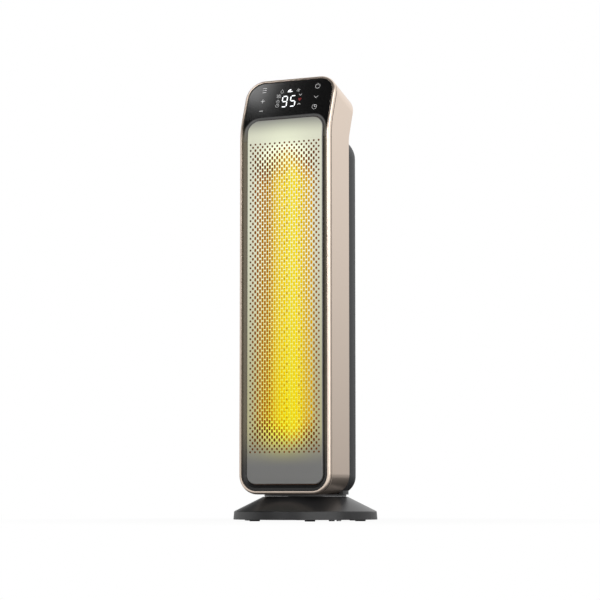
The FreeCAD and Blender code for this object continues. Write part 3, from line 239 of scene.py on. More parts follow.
def axis_reach(tree, shift, set_back):
    """Distance r from an upright axis at x = -shift, y = set_back, with r = |x + shift| in front of it."""
    across, back, _ = axes(tree)
    behind = maths(tree, "MAXIMUM", maths(tree, "SUBTRACT", back, set_back), 0.0)
    return right_length(tree, maths(tree, "ADD", across, shift), behind)


def inner_skin(tree, reach, radius, skin):
    """One on a wall's skin at that radius from its axis, and zero deeper than the skin."""
    return mapped(tree, reach, radius + skin / 2, radius + skin, 1.0, 0.0)


# Painted light: the wheel and the scroll's inner skin glow by emission in place of the element's light.
wheel_painted_glow = glowing("wheel_painted_glow", wheel_reach, *wheel_tones)
walls_painted_glow = glowing("walls_painted_glow", wall_reach, *wall_tones)
tree = walls_painted_glow.node_tree
lit_wall = inner_skin(tree, axis_reach(tree, scroll_shift, fan_set_back), scroll_radius, scroll_skin)
wire(tree, tree.nodes["Principled BSDF"], Emission_Strength=lit_wall)
coat_nodes(wheel_painted_glow, "fan_wheel")
coat_nodes(walls_painted_glow, "scroll_wall")
# Painted light: the tongue wears the element's glowing finish, as if lit by it.
coat_nodes(hot_core, "tongue_wall")
coat_nodes(plated_steel, "fan_shaft")
coat_nodes(pad_rubber, "fan_bush")
coat_nodes(motor_can, "blower_motor")


# Circuit boards: green laminate, one on the chassis with relays and capacitor under the lower deck,
# and one behind the touch panel.
board_green = grained(
    "board_green", dark=(0.02, 0.10, 0.045), light=(0.03, 0.15, 0.06),
    roughness=0.35, grain=250.0, relief=0.00002,
)
coat_nodes(board_green, "main_board", "display_board")
coat_nodes(switch_black, "board_parts")


# Band and lip: champagne anodised metal, bent back at the head. The bright rounded lip sits on a
# tongue inside the band's front edge; the groove between them and the front of the band's edge are
# darkened with painted shade.
front_line, bend_level, bend_radius, lean = -0.0672, 0.521, 0.091, math.radians(20.0)
groove_start, groove_end, groove_edge = 0.0047, 0.0070, 0.0002
band_dark, band_light = (0.830, 0.695, 0.585), (0.840, 0.705, 0.595)
# The groove's dark tone is painted shade, laid over the groove and the band's front edge.
groove_painted_shade = (0.03, 0.022, 0.018, 1.0)


def product(tree, *factors):
    """All the factors multiplied."""
    whole = factors[0]
    for factor in factors[1:]:
        whole = maths(tree, "MULTIPLY", whole, factor)
    return whole


def overlaid(tree, share, under, over):
    """The colour under where the share is zero and the colour over where it is one."""
    return add(tree, "ShaderNodeMix", {"data_type": "RGBA"}, Factor=share, A=under, B=over).outputs["Result"]


def face_depth(tree):
    """Depth d behind the bent front: d = R - r cos(t - clamp(t, 0, lean)), r, t round the bend's centre."""
    _, back, level = axes(tree)
    forward = maths(tree, "SUBTRACT", front_line + bend_radius, back)
    upward = maths(tree, "SUBTRACT", level, bend_level)
    turn = maths(tree, "ARCTAN2", upward, forward)
    kept = maths(tree, "MINIMUM", maths(tree, "MAXIMUM", turn, 0.0), lean)
    slant = maths(tree, "COSINE", maths(tree, "SUBTRACT", turn, kept))
    return maths(tree, "SUBTRACT", bend_radius, product(tree, right_length(tree, forward, upward), slant))


def champagne_finish():
    """Warm metal with a hardly seen grain, with painted shade in the groove and on the band's front edge."""
    material, tree, surface = shader("champagne", Roughness=0.33, Metallic=1.0)
    metal = tones(tree, noise(tree, scale=250.0), band_dark, band_light)
    depth = face_depth(tree)
    # Painted shade: a dark tone over the groove and the band's front edge, where the lip shades them.
    groove_shade_share = product(
        tree, mapped(tree, depth, groove_start, groove_start + groove_edge, 0.0, 1.0),
        mapped(tree, depth, groove_end - groove_edge, groove_end, 1.0, 0.0),
    )
    wire(tree, surface, Base_Color=overlaid(tree, groove_shade_share, metal, groove_painted_shade))
    return material


coat_nodes(champagne_finish(), "side_band", "front_trim")


# Bezel and touch panel: a polished black moulded ring with a sloped inner edge, split where the head
# starts to lean, and seated inside the lip on the front frame. The frame glows faintly with painted
# light from the element; the panel and bezel carry painted glow and reflections, given below.
frame_glow_tones = ((0.010, 0.003, 0.0), (0.030, 0.008, 0.0))
panel_sink, slope_start, slope_end = 0.0015, 0.0017, 0.0021
panel_dark, panel_light = (0.003, 0.003, 0.003), (0.005, 0.005, 0.005)
# The first two tones here are painted light: a grey reflection on the slope and a warm glow near the grille.
slope_painted_reflection, painted_glow_cast, cast_rise = (0.080, 0.080, 0.078, 1.0), (0.105, 0.090, 0.057, 1.0), 0.024
# Painted light on the bezel: over the glowing heights its colour takes a warm glow and its reflections grow
# warmer and brighter; lower down its reflections are dimmed as painted shade.
glow_cast_start, glow_cast_end = 0.06, 0.13
bezel_cold, bezel_painted_glow = (0.010, 0.010, 0.010), (0.042, 0.035, 0.022)
shine_painted_shade, shine_painted_glow = (0.45, 0.45, 0.45), (1.0, 0.90, 0.68)


def panel_finish():
    """Polished black with a hardly seen cloud, a painted grey reflection on the slope round the grille, and a
    painted warm glow above the bezel.
    """
    material, tree, surface = shader("panel_black", Roughness=0.15)
    face = tones(tree, noise(tree, scale=60.0, detail=4.0), panel_dark, panel_light)
    # Painted reflection: the slope is greyed where it would mirror the light in front.
    slope = mapped(tree, face_depth(tree), slope_start, slope_end, 0.0, 1.0)
    _, _, level = axes(tree)
    # Painted glow: the panel's foot above the grille is tinted warm as if lit by it.
    glow_cast_share = mapped(tree, level, bend_level, bend_level + cast_rise, 1.0, 0.0)
    sloped = overlaid(tree, slope, face, slope_painted_reflection)
    wire(tree, surface, Base_Color=overlaid(tree, glow_cast_share, sloped, painted_glow_cast))
    return material


def bezel_finish():
    """Polished black with a painted warm glow and warmer painted reflections over the glowing heights, dimmer
    reflections below, on a hardly felt grain.
    """
    material, tree, surface = shader("bezel_black", Roughness=0.25, Specular_IOR_Level=0.9)
    _, _, level = axes(tree)
    # Painted glow and painted shade: colour and reflection tint run from dim below to warm over the glowing
    # heights.
    painted_glow_share = mapped(tree, level, glow_cast_start, glow_cast_end, 0.0, 1.0)
    wire(
        tree, surface,
        Base_Color=tones(tree, painted_glow_share, bezel_cold, bezel_painted_glow),
        Specular_Tint=tones(tree, painted_glow_share, shine_painted_shade, shine_painted_glow),
        Normal=bumped(tree, noise(tree, scale=900.0, detail=4.0), relief=0.000002),
    )
    return material


# Painted light: the front frame glows faintly by emission, as if lit by the element.
coat_nodes(glowing("frame_painted_glow", core_reach, *frame_glow_tones), "front_frame")
coat_nodes(panel_finish(), "control_panel")
coat_nodes(bezel_finish(), "front_bezel")


# Display behind the touch panel: two digits of seven bars each. The bars that are lit shine through
# the polished face, and are drawn as thin films on it.
film_thick, weld = 0.00005, 0.000001
digit_half_width, digit_half_height, stroke = 0.0036, 0.0082, 0.0015
digit_climb, digit_places = 0.0254, {"abcdfg": -0.0069, "acdfg": 0.0057}
segment_ends = {
    "a": ((-1, 1), (1, 1)), "b": ((1, 1), (1, 0)), "c": ((1, 0), (1, -1)), "d": ((-1, -1), (1, -1)),
    "e": ((-1, 0), (-1, -1)), "f": ((-1, 1), (-1, 0)), "g": ((-1, 0), (1, 0)),
}
segment_gap, tip_share = 0.0007, 0.3


def on_panel(spots):
    """Points of the leaning face from pairs of across and climb: the end of the bend, then up the lean."""
    across, climb = np.moveaxis(np.asarray(spots), -1, 0)
    reach = bend_radius - panel_sink + film_thick
    back = front_line + bend_radius - reach * math.cos(lean) + climb * math.sin(lean)
    level = bend_level + reach * math.sin(lean) + climb * math.cos(lean)
    return np.stack([across, back, level], axis=-1)


def grid_faces(rows, columns, wrap):
    """Corner numbers of the faces of a grid of points; wrap joins its last column to its first."""
    row = np.arange(rows - 1)[:, None] * columns
    column = np.arange(columns if wrap else columns - 1)[None, :]
    following = (column + 1) % columns
    corners = [row + column, row + following, row + columns + following, row + columns + column]
    return np.stack(corners, axis=-1).reshape(-1, 4)


def piece(name, material, body, *sheets):
    """One object on a body from grids of points, each (..., rows, columns, 3) with its wrap.

    Points that fall together are welded.
    """
    spots, faces, first = [], [], 0
    for points, wrap in sheets:
        rows, columns = points.shape[-3:-1]
        lots = points.reshape(-1, rows * columns, 3)
        starts = first + np.arange(len(lots)) * rows * columns
        faces.append((grid_faces(rows, columns, wrap)[None] + starts[:, None, None]).reshape(-1, 4))
        spots.append(lots.reshape(-1, 3))
        first += len(lots) * rows * columns
    mesh = bpy.data.meshes.new(name)
    mesh.from_pydata(np.concatenate(spots).tolist(), [], np.concatenate(faces).tolist())
    shell = bmesh.new()
    shell.from_mesh(mesh)
    bmesh.ops.remove_doubles(shell, verts=shell.verts, dist=weld)
    shell.to_mesh(mesh)
    shell.free()
    mesh.materials.append(material)
    thing = bpy.data.objects.new(name, mesh)
    bpy.context.scene.collection.objects.link(thing)
    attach(thing, body)
    return thing


def ribbon(path, width):
    """A flat band along a path on the panel: the path shifted by half the width to both sides of its run."""
    path = np.asarray(path, float)
    run = np.gradient(path, axis=0)
    run /= np.linalg.norm(run, axis=1, keepdims=True)
    side = np.stack([-run[:, 1], run[:, 0]], axis=1) * (np.asarray(width) / 2).reshape(-1, 1)
    return on_panel(np.stack([path - side, path + side])), False


def digit_bars(letters, across):
    """The bars of one digit, each a ribbon between two corners of the digit's box with pointed tips."""
    bars = []
    for letter in letters:
        ends = np.array(segment_ends[letter]) * (digit_half_width, digit_half_height) + (across, digit_climb)
        run = (ends[1] - ends[0]) / np.linalg.norm(ends[1] - ends[0])
        tips = ends + np.outer((1, -1), run) * segment_gap
        shoulders = tips + np.outer((1, -1), run) * stroke / 2
        widths = stroke * np.array([tip_share, 1.0, 1.0, tip_share])
        bars.append(ribbon([tips[0], shoulders[0], shoulders[1], tips[1]], widths))
    return bars


def lit(name, colour, strength, dim_share):
    """A printed or lit film whose light wanders a little with a fine noise."""
    material, tree, surface = shader(name, Roughness=0.4, Emission_Strength=strength)
    tone = tones(tree, noise(tree, scale=400.0), [part * dim_share for part in colour], colour)
    wire(tree, surface, Base_Color=tone, Emission_Color=tone)
    return material


display_white = lit("display_white", colour=(0.9, 0.92, 0.95), strength=1.0, dim_share=0.92)
all_bars = [bar for letters, across in digit_places.items() for bar in digit_bars(letters, across)]
piece("display_digits", display_white, "tower", *all_bars)


# Touch signs: printed on the panel in two columns, with menu, plus and minus at the left and power,
# swing and clock at the right. Their paths are shares of half a sign's width.
sign_half, thin_line, ring_line = 0.0030, 0.00045, 0.000315
left_column, right_column, touch_rows = -0.0411, 0.0406, (0.0458, 0.0289, 0.0133)
level_shares, upright_shares = np.array([(-1, 0), (0, 0), (1, 0)]), np.array([(0, -1), (0, 0), (0, 1)])
arrow_shares = np.array([(-1, 0.5), (0, -0.5), (1, 0.5)])
menu_step_share, dial_share = 1.1, 1.15
power_start, power_end, power_bar_shares = 125.0, 415.0, ((0, 1.5), (0, 1), (0, 0.5))
long_hand_shares, short_hand_shares = ((0, 0.7), (0, 0)), ((0, 0), (0.6, 0))


def ring(centre, radius, start=0.0, end=360.0, steps=25):
    """Points of an arc round a centre between two angles in degrees, from the right towards the top."""
    turn = np.radians(np.linspace(start, end, steps))
    return np.asarray(centre) + radius * np.stack([np.cos(turn), np.sin(turn)], axis=1)


def drawn(place, half, width, *paths):
    """Ribbons along paths that are given round a place in shares of a half width."""
    return [ribbon(np.asarray(place) + np.asarray(path) * half, width) for path in paths]


menu_place, plus_place, minus_place = ((left_column, row) for row in touch_rows)
power_place, swing_place, clock_place = ((right_column, row) for row in touch_rows)
menu_paths = [level_shares + np.array([0, step * menu_step_share]) for step in (-1, 0, 1)]
touch_grey = lit("touch_grey", colour=(0.75, 0.75, 0.75), strength=0.6, dim_share=0.85)
piece(
    "touch_signs", touch_grey, "tower",
    *drawn(menu_place, sign_half, thin_line, *menu_paths),
    *drawn(plus_place, sign_half, thin_line, level_shares, upright_shares),
    *drawn(minus_place, sign_half, thin_line, level_shares),
    *drawn(power_place, sign_half, ring_line, ring((0, 0), dial_share, power_start, power_end)),
    *drawn(power_place, sign_half, thin_line, power_bar_shares),
    *drawn(swing_place, sign_half, thin_line, arrow_shares),
    *drawn(clock_place, sign_half, ring_line, ring((0, 0), dial_share)),
    *drawn(clock_place, sign_half, thin_line, long_hand_shares, short_hand_shares),
)


# Mode signs: small films round the digits for the heater's modes. Most are dim outlines, and the
# leaf and the heart are lit.
small_half, bold_line = 0.0021, 0.0009
mode_row, side_columns, side_rows = 0.0417, (-0.0172, 0.0161), (0.0343, 0.0270, 0.0198)
drop_place, leaf_place, fan_place = ((across, mode_row) for across in (-0.0131, -0.0006, 0.0118))
wave_place, lock_place, timer_place = ((side_columns[0], row) for row in side_rows)
down_place, warm_place, up_place = ((side_columns[1], row) for row in side_rows)
along = np.linspace(0.0, 1.0, 13)
quarter_turn, half_turn = 90.0, 180.0
drop_tip_shares, drop_centre_shares, drop_start, drop_end = (0, 1.5), (0, -0.2), 30.0, -210.0
arm_share = 0.6
wave_span_share, wave_swing_share, wave_count, wave_row_shares = 3.0, 0.5, 2, (-0.7, 0.2, 1.1)
lock_half_share, lock_drop_share, shackle_share = 1.1, 1.3, 0.8
timer_share, timer_long_shares, timer_short_shares = 1.2, ((0, 0.8), (0, 0)), ((0, 0), (0.6, 0))
leaf_start_shares, leaf_end_shares, leaf_bow_share, leaf_width_share = (-1.8, -0.9), (0.6, 1.1), 0.6, 1.4
twig_start_shares, twig_end_shares, twig_bow_share, twig_width_share = (-0.6, -1.0), (2.0, -0.5), 0.8, 0.6
swell_trim, swell_power = 0.03, 0.8
heart_half, heart_trim, heart_steps = 0.00252, 0.98, 17
lobe_base_share, lobe_rise_share, point_slope_share, point_drop_share = 0.35, 0.60, 1.5, 1.15


def fan_arm(angle):
    """Half a circle that starts at the fan's rim, with its centre at that angle round the hub."""
    centre = ring((0, 0), arm_share, angle, angle)[0]
    return ring(centre, arm_share, angle, angle + half_turn)


def wave(step):
    """A sine of two waves along the sign, at a step up from its place."""
    swing = wave_swing_share * np.sin(along * 2 * math.pi * wave_count)
    return np.stack([(along - 0.5) * wave_span_share, swing + step], axis=1)


def bowed(start, end, bow):
    """A path from start to end, raised by bow u (1 - u) at the share u of its run."""
    rise = np.outer(bow * along * (1 - along), (0, 1))
    return np.outer(1 - along, start) + np.outer(along, end) + rise


def heart():
    """Lower and upper edge of a heart: y = s |x| - d, and two lobes y = b + a sqrt(1 - (2|x| - 1)^2)."""
    across = np.linspace(-heart_trim, heart_trim, heart_steps)
    bottom = point_slope_share * np.abs(across) - point_drop_share
    top = lobe_base_share + lobe_rise_share * np.sqrt(1 - (2 * np.abs(across) - 1) ** 2)
    return np.stack([np.stack([across, edge], axis=1) for edge in (bottom, top)])


drop_arc = ring(drop_centre_shares, 1.0, drop_start, drop_end)
lock_box = np.array([(-1, 0), (1, 0), (1, -1), (-1, -1), (-1, 0)]) * (lock_half_share, lock_drop_share)
sign_grey = lit("sign_grey", colour=(0.42, 0.42, 0.42), strength=0.6, dim_share=0.8)
piece(
    "mode_signs", sign_grey, "tower",
    *drawn(drop_place, small_half, thin_line, [drop_tip_shares, *drop_arc, drop_tip_shares]),
    *drawn(fan_place, small_half, thin_line, *[fan_arm(count * quarter_turn) for count in range(4)]),
    *drawn(wave_place, small_half, thin_line, *[wave(step) for step in wave_row_shares]),
    *drawn(lock_place, small_half, thin_line, lock_box, ring((0, 0), shackle_share, 0.0, half_turn)),
    *drawn(timer_place, small_half, thin_line, ring((0, 0), timer_share)),
    *drawn(timer_place, small_half, thin_line, timer_long_shares, timer_short_shares),
    *drawn(down_place, small_half, bold_line, arrow_shares),
    *drawn(up_place, small_half, bold_line, arrow_shares * (1, -1)),
)
swell = small_half * np.sin(math.pi * np.clip(along, swell_trim, 1 - swell_trim)) ** swell_power
leaf_path = bowed(leaf_start_shares, leaf_end_shares, leaf_bow_share)
twig_path = bowed(twig_start_shares, twig_end_shares, twig_bow_share)
piece(
    "eco_sign", display_white, "tower",
    *drawn(leaf_place, small_half, swell * leaf_width_share, leaf_path),
    *drawn(leaf_place, small_half, swell * twig_width_share, twig_path),
)
warm_red = lit("warm_red", colour=(0.14, 0.004, 0.005), strength=0.5, dim_share=0.85)
piece("warm_sign", warm_red, "tower", (on_panel(heart() * heart_half + warm_place), False))


# Grille: pressed steel sheet painted warm grey, with a staggered field of slots that grow longer
# towards the middle. It is rolled back at its edge into a shallow tray, which sits in the bezel's
# opening. Its forward faces carry painted light: they glow by their own emission, and the paint is
# tinted yellow under the glow, as if the element lit the sheet from behind.
grille_sink, sheet_thick, edge_round, tray_depth = 0.0013, 0.0007, 0.0014, 0.0062
tray_half, tray_low, tray_high = 0.0572, 0.0499, 0.5498
tray_corner_low, tray_corner_high = 0.0130, 0.0170
column_count, row_count = 15, 53
field_half, field_low, field_high = 0.0519, 0.0933, 0.5160
slot_width_edge, slot_width_middle = 0.0027, 0.00325
slot_length_edge, slot_length_middle = 0.0028, 0.0072
fade_across, fade_along, slot_roll = 0.026, 0.060, 0.0002
column_pitch = 2 * field_half / (column_count - 1)
row_pitch = (field_high - field_low) / (row_count - 1)
cell_half_width, cell_half_height = column_pitch / 4, row_pitch / 2
rim_points, corner_steps, side_steps, roll_steps, flat_steps = 12, 13, 41, 6, 10
# Places across of the points round a slot's cell, from the right edge anticlockwise. A quarter turn
# on, they are the heights.
cell_shares = np.array([1, 1, 1 / 3, -1 / 3, -1, -1, -1, -1, -1 / 3, 1 / 3, 1, 1])


def face_line(level, depth):
    """Y of the tower's face at a height and a depth behind it: upright, then round the bend's arc."""
    rise = np.clip(level - bend_level, 0.0, None)
    return front_line + bend_radius - np.sqrt((bend_radius - depth) ** 2 - rise**2)


def on_face(across, level, depth):
    """Points at a place across and up the tower's front, at a depth behind its face."""
    across, level, depth = np.broadcast_arrays(across, level, depth)
    return np.stack([across, face_line(level, depth), level], axis=-1)


def slot_centres():
    """Centres of all slots: a full lattice and one shifted by half a pitch both ways."""
    full = np.meshgrid(np.arange(column_count), np.arange(row_count), indexing="ij")
    shifted = np.meshgrid(np.arange(column_count - 1) + 0.5, np.arange(row_count - 1) + 0.5, indexing="ij")
    columns, rows = (np.concatenate([one.ravel(), other.ravel()]) for one, other in zip(full, shifted))
    return -field_half + columns * column_pitch, field_low + rows * row_pitch


def slot_cells():
    """For each slot five rings of points: front cell edge, front rim, rolled rim, back rim, back cell edge.

    A rim is a circle of angle t stretched along Z by the slot's straight length; a cell edge is its box.
    """
    across, level = (places[:, None] for places in slot_centres())
    from_side = (field_half - np.abs(across)) / fade_across
    from_end = np.minimum(level - field_low, field_high - level) / fade_along
    inward = np.sin(np.clip(np.minimum(from_side, from_end), 0.0, 1.0) * math.pi / 2)
    half_width = (slot_width_edge + (slot_width_middle - slot_width_edge) * inward) / 2
    straight = (slot_length_edge + (slot_length_middle - slot_length_edge) * inward) / 2 - half_width
    angle = (np.arange(rim_points) + 0.5) * 2 * math.pi / rim_points

    def rim(grow, depth):
        x = across + (half_width + grow) * np.cos(angle)
        z = level + (half_width + grow) * np.sin(angle) + straight * np.sign(np.sin(angle))
        return on_face(x, z, depth)

    def edge(depth):
        climb = np.roll(cell_shares, rim_points // 4)
        return on_face(across + cell_shares * cell_half_width, level + climb * cell_half_height, depth)

    front, back = grille_sink, grille_sink + sheet_thick
    rings = [edge(front), rim(slot_roll, front), rim(0.0, front + slot_roll), rim(0.0, back), edge(back)]
    return np.stack(rings, axis=1)


def half_cells():
    """Plain ends of the shifted columns: strips half a pitch high under and over the slots, on both faces."""
    across = -field_half + (np.arange(column_count - 1) + 0.5) * column_pitch
    sides = across[:, None] + np.array([-1.0, 1.0]) * cell_half_width
    ends = ((field_low - cell_half_height, field_low), (field_high, field_high + cell_half_height))
    strips = []
    for low, high in ends:
        for depth, levels in ((grille_sink, (low, high)), (grille_sink + sheet_thick, (high, low))):
            strips.append(np.stack([on_face(sides, level, depth) for level in levels], axis=1))
    return np.concatenate(strips)


def tray_outline(inset):
    """Across and level of a rounded rectangle, anticlockwise seen from the front, drawn in by an inset."""
    half, low, high = tray_half - inset, tray_low + inset, tray_high - inset
    corner_low, corner_high = tray_corner_low - inset, tray_corner_high - inset
    corners = (
        (half - corner_low, low + corner_low, corner_low),
        (half - corner_high, high - corner_high, corner_high),
        (-half + corner_high, high - corner_high, corner_high),
        (-half + corner_low, low + corner_low, corner_low),
    )
    arcs = []
    for count, (x, z, radius) in enumerate(corners):
        arcs.append(ring((x, z), radius, (count - 1) * quarter_turn, count * quarter_turn, corner_steps))
    share = np.linspace(0.0, 1.0, side_steps)[1:-1, None]
    sides = []
    for one, following in zip(arcs, arcs[1:] + arcs[:1]):
        sides += [one, one[-1] * (1 - share) + following[0] * share]
    return np.concatenate(sides)


def tray_border():
    """Rings from the slot field out to the rolled edge, back along the tray's wall and inside to the field.

    Each ring runs clockwise seen from the front, so that the faces between them point outwards.
    """
    width = field_half + cell_half_width
    field = np.array([[-width, field_low - cell_half_height], [width, field_high + cell_half_height]])
    roll = np.linspace(0.0, math.pi / 2, roll_steps)
    steps = np.linspace(0.0, 1.0, flat_steps)

    def flat_rings(inset, depth, steps):
        outer = tray_outline(inset)
        inner = np.clip(outer, *field)
        return [on_face(*(inner + (outer - inner) * step).T, depth) for step in steps]

    def wall_ring(inset, depth):
        return on_face(*tray_outline(inset).T, grille_sink + depth)

    rings = flat_rings(edge_round, grille_sink, steps)
    rings += [wall_ring(edge_round * (1 - math.sin(t)), edge_round * (1 - math.cos(t))) for t in roll[1:]]
    rings.append(wall_ring(0.0, tray_depth))
    rings.append(wall_ring(sheet_thick, tray_depth))
    rings.append(wall_ring(sheet_thick, edge_round))
    rings += flat_rings(sheet_thick + edge_round, grille_sink + sheet_thick, steps[::-1])
    return np.stack(rings)[:, ::-1]


# The yellow tint after the paint tones is painted light, lying where the glow is strongest.
paint_dark, paint_light, painted_glow_tint = (0.18, 0.18, 0.175), (0.205, 0.205, 0.20), (0.20, 0.19, 0.03, 1.0)
lemon_tones = ((0.27, 0.25, 0.07), (0.63, 0.58, 0.04), (0.78, 0.76, 0.0), (0.80, 0.82, 0.0))
pale_tones = ((0.48, 0.49, 0.35), (0.82, 0.88, 0.60), (0.84, 0.90, 0.48), (0.86, 0.92, 0.40))
glow_half, spill_below, spill_above = 0.055, 0.022, 0.038
top_share, bottom_share = 0.1, 0.25
pale_start, pale_end = 0.110, 0.450
side_on, front_on = 0.4, 0.9
unlit = (0.0, 0.0, 0.0, 1.0)


def grille_finish():
    """Warm grey paint with a painted glow in the slot field on faces that look forward.

    The painted glow peaks along the middle, lemon yellow below and pale above, and tints the paint yellow
    below.
    """
    material, tree, surface = shader("grille_paint", Roughness=0.42, Emission_Strength=1.0)
    cloud = noise(tree, scale=1500.0, detail=4.0)
    grey = tones(tree, cloud, paint_dark, paint_light)
    across, _, level = axes(tree)
    side = maths(tree, "ABSOLUTE", across)
    middle = product(
        tree, mapped(tree, side, 0.0, glow_half, 1.0, 0.0),
        mapped(tree, level, field_high - fade_along / 2, field_high + row_pitch, 1.0, top_share),
        mapped(tree, level, field_low - row_pitch, field_low + spill_above, bottom_share, 1.0),
    )
    height = mapped(tree, level, pale_start, pale_end, 0.0, 1.0)
    hue = overlaid(tree, height, tones(tree, middle, *lemon_tones), tones(tree, middle, *pale_tones))
    fade_low = mapped(tree, level, field_low - spill_below, field_low + spill_above, 0.0, 1.0)
    fade_high = mapped(tree, level, tray_high + row_pitch, field_high + row_pitch, 0.0, 1.0)
    wall = mapped(tree, side, tray_half, tray_half - edge_round, 0.0, 1.0)
    facing = add(tree, "ShaderNodeAttribute", {"attribute_name": "front_share"}).outputs["Fac"]
    glow = overlaid(tree, product(tree, fade_low, fade_high, wall, facing), unlit, hue)
    # Painted light: the paint is tinted yellow where the glow is strongest, below the pale heights.
    glow_tint_share = product(tree, middle, fade_low, mapped(tree, level, pale_start, pale_end, 1.0, 0.0))
    wire(
        tree, surface,
        Base_Color=overlaid(tree, glow_tint_share, grey, painted_glow_tint),
        Emission_Color=glow,
        Normal=bumped(tree, cloud, relief=0.00002),
    )
    return material


grille = piece(
    "grille_sheet", grille_finish(), "tower",
    (slot_cells(), True), (half_cells(), False), (tray_border(), True),
)
# A smooth step for the glow, from faces that look sideways to faces that look forward.
normals = np.empty(3 * len(grille.data.polygons))
grille.data.polygons.foreach_get("normal", normals)
facing = np.clip((-normals[1::3] - side_on) / (front_on - side_on), 0.0, 1.0)
front_share = grille.data.attributes.new("front_share", "FLOAT", "FACE")
front_share.data.foreach_set("value", facing**2 * (3 - 2 * facing))
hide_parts("grille")


# Rear: a half-round moulded cover with a dome, the closed back of the head inside the band, and the
# intake panel that pulls off with its dust mesh. The mesh's inner skin carries painted light: it
# glows amber by its own emission, as if lit by the element, fading out towards the top.
filter_radius, filter_skin, lit_end, dark_start = 0.0656, 0.0005, 0.385, 0.425
filter_painted_glow = (0.55, 0.31, 0.0, 1.0)
cover_black = grained(
    "cover_black", dark=(0.020, 0.021, 0.023), light=(0.029, 0.030, 0.032),
    roughness=0.5, grain=1500.0, relief=0.00006,
)
mesh_dark = grained(
    "mesh_dark", dark=(0.010, 0.010, 0.010), light=(0.03, 0.03, 0.03),
    roughness=0.8, grain=1200.0, relief=0.00008,
)
tree = mesh_dark.node_tree
_, _, level = axes(tree)
# Painted light: the mesh's inner skin glows by emission as if lit by the element, up to a height.
painted_mesh_glow = product(
    tree, inner_skin(tree, axis_reach(tree, 0.0, 0.0), filter_radius, filter_skin),
    mapped(tree, level, lit_end, dark_start, 1.0, 0.0),
)
wire(tree, tree.nodes["Principled BSDF"], Emission_Color=filter_painted_glow, Emission_Strength=painted_mesh_glow)
coat_nodes(cover_black, "rear_cover", "head_cover", "filter_panel")
coat_nodes(mesh_dark, "dust_filter")


# Surroundings: white for the camera. What lights the object is dimmer above. What it mirrors is dim
# over the horizon in front and at the upper left behind, as in a studio with dark walls.
scene = bpy.context.scene
scene.view_settings.view_transform = "Standard"
white = (1.0, 1.0, 1.0, 1.0)
dusk_level = 0.10


def background_share(tree):
    """One for rays straight from the camera or through glass, and zero for rays that light the object."""
    path = add(tree, "ShaderNodeLightPath")
    return maths(tree, "MAXIMUM", path.outputs["Is Camera Ray"], path.outputs["Is Transmission Ray"])


def mirrored_share(tree):
    """One for rays that a glossy surface mirrors."""
    return add(tree, "ShaderNodeLightPath").outputs["Is Glossy Ray"]


def blended(tree, share, first, last):
    """The first number where the share is zero and the last where it is one."""
    return add(tree, "ShaderNodeMix", {"data_type": "FLOAT"}, _0=share, _2=first, _3=last).outputs[0]


world = bpy.data.worlds.new("surroundings")
world.use_nodes = True
scene.world = world
tree = world.node_tree
direction = add(tree, "ShaderNodeSeparateXYZ", Vector=add(tree, "ShaderNodeTexCoord").outputs["Generated"])
rightward, backward, upward = (direction.outputs[axis] for axis in "XYZ")
left_dusk = product(
    tree, mapped(tree, rightward, low=-0.55, high=-0.25, first=1.0, last=0.0),
    mapped(tree, upward, low=0.15, high=0.30, first=0.0, last=1.0),
)
behind_level = mapped(tree, upward, low=-0.06, high=0.20, first=0.34, last=1.0)
behind_level = blended(tree, left_dusk, behind_level, dusk_level)
front_level = mapped(tree, upward, low=0.04, high=0.20, first=1.0, last=0.04)
far_left = mapped(tree, rightward, low=-0.75, high=-0.95, first=0.0, last=1.0)
front_level = blended(tree, far_left, front_level, 1.0)
behind_share = mapped(tree, backward, low=-0.3, high=0.5, first=0.0, last=1.0)
mirror_level = blended(tree, behind_share, front_level, behind_level)
ambient = mapped(tree, upward, low=-0.1, high=0.7, first=0.55, last=0.2)
around_level = blended(tree, mirrored_share(tree), ambient, mirror_level)
strength = blended(tree, background_share(tree), around_level, 1.0)
wire(tree, tree.nodes["Background"], Color=white, Strength=strength)


# Floor: a pale matt plane that the camera sees as white with a faint shadow round the foot. In
# mirrors it is bright in front of the object and dim far away; under and behind it a painted shadow
# darkens it.
floor_half, floor_grey = 6.0, (0.8, 0.8, 0.8, 1.0)
shadow_share, shadow_start, shadow_end = 0.95, 0.15, 0.60
# The levels behind and at the foot are painted shadow, seen only in mirrors.
mirror_front, mirror_back, painted_back_shadow = -0.20, 0.15, 0.06
foot_start, foot_end, painted_foot_shadow = 0.10, 0.22, 0.1
far_start, far_end, far_level = 0.35, 1.0, 0.45


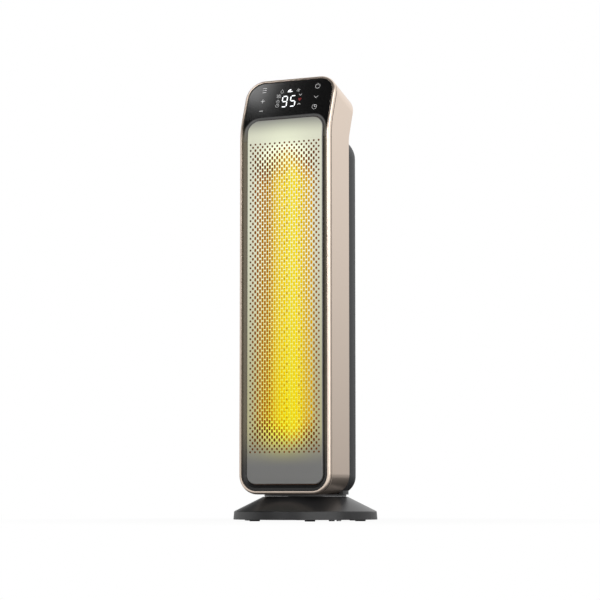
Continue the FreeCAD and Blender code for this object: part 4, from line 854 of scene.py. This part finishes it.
def floor_finish():
    """Matt grey for the light, and white for the camera and mirrors; in mirrors it fades with the place and
    holds a painted shadow under and behind the object.
    """
    material, tree, surface = shader("floor_paint", Roughness=0.9, Specular_IOR_Level=0.0)
    wire(tree, surface, Base_Color=floor_grey)
    across, back, _ = axes(tree)
    away = right_length(tree, across, back)
    near_level = product(
        tree, mapped(tree, back, mirror_front, mirror_back, 1.0, painted_back_shadow),
        mapped(tree, away, foot_start, foot_end, painted_foot_shadow, 1.0),
    )
    mirror_level = blended(tree, mapped(tree, away, far_start, far_end, 0.0, 1.0), near_level, far_level)
    strength = blended(tree, mirrored_share(tree), 1.0, mirror_level)
    even = add(tree, "ShaderNodeEmission", Color=white, Strength=strength)
    plain_share = mapped(tree, away, shadow_start, shadow_end, shadow_share, 1.0)
    seen_share = product(tree, background_share(tree), plain_share)
    share = maths(tree, "MAXIMUM", seen_share, mirrored_share(tree))
    mixed = add(tree, "ShaderNodeMixShader", Fac=share, _1=surface.outputs[0], _2=even.outputs[0])
    wire(tree, tree.nodes["Material Output"], Surface=mixed.outputs[0])
    return material


floor_mesh = bpy.data.meshes.new("floor")
floor_corners = floor_half * np.array([(-1, -1, 0), (1, -1, 0), (1, 1, 0), (-1, 1, 0)])
floor_mesh.from_pydata(floor_corners.tolist(), [], [(0, 1, 2, 3)])
floor_mesh.materials.append(floor_finish())
floor = bpy.data.objects.new("floor", floor_mesh)
scene.collection.objects.link(floor)


# Lights and camera: a large softbox at the right, a smaller one in front, and two small ones that
# shine on the head and in the panel. The camera stands low at the right, far off with a long lens.
def softbox(name, place, target, width, height, power):
    """A rectangular lamp at a place, turned to face the target."""
    lamp = bpy.data.lights.new(name, "AREA")
    lamp.shape = "RECTANGLE"
    lamp.size, lamp.size_y, lamp.energy = width, height, power
    box = bpy.data.objects.new(name, lamp)
    box.location = place
    aim = np.array(target) - np.array(place)
    turn = math.atan2(aim[0], -aim[1])
    tilt = math.acos(-aim[2] / np.linalg.norm(aim))
    box.rotation_euler = (tilt, 0.0, turn + math.pi)
    box.visible_camera = False
    scene.collection.objects.link(box)


middle, panel_mirror, head_side = (0.0, 0.0, 0.3), (-0.114, -0.0124, 0.6414), (0.055, -0.05, 0.56)
softbox("right_box", place=(1.60, -1.30, 1.05), target=middle, width=2.8, height=2.1, power=30.0)
softbox("front_box", place=(-0.5, -2.3, 1.1), target=middle, width=1.2, height=0.7, power=10.0)
softbox("panel_box", place=(-0.310, -0.265, 0.958), target=panel_mirror, width=0.15, height=0.09, power=0.24)
softbox("head_box", place=(0.62, -0.40, 1.05), target=head_side, width=0.55, height=0.30, power=0.80)

camera_lens, sensor_width = 132.11, 36.0
camera_place, camera_turn, camera_rise = (1.3246, -2.7384, 0.0333), 25.954, 5.10036
camera = bpy.data.objects.new("camera", bpy.data.cameras.new("camera"))
camera.data.lens = camera_lens
camera.data.sensor_width = sensor_width
camera.location = camera_place
camera.rotation_euler = (math.radians(quarter_turn + camera_rise), 0.0, math.radians(camera_turn))
scene.collection.objects.link(camera)
scene.camera = camera
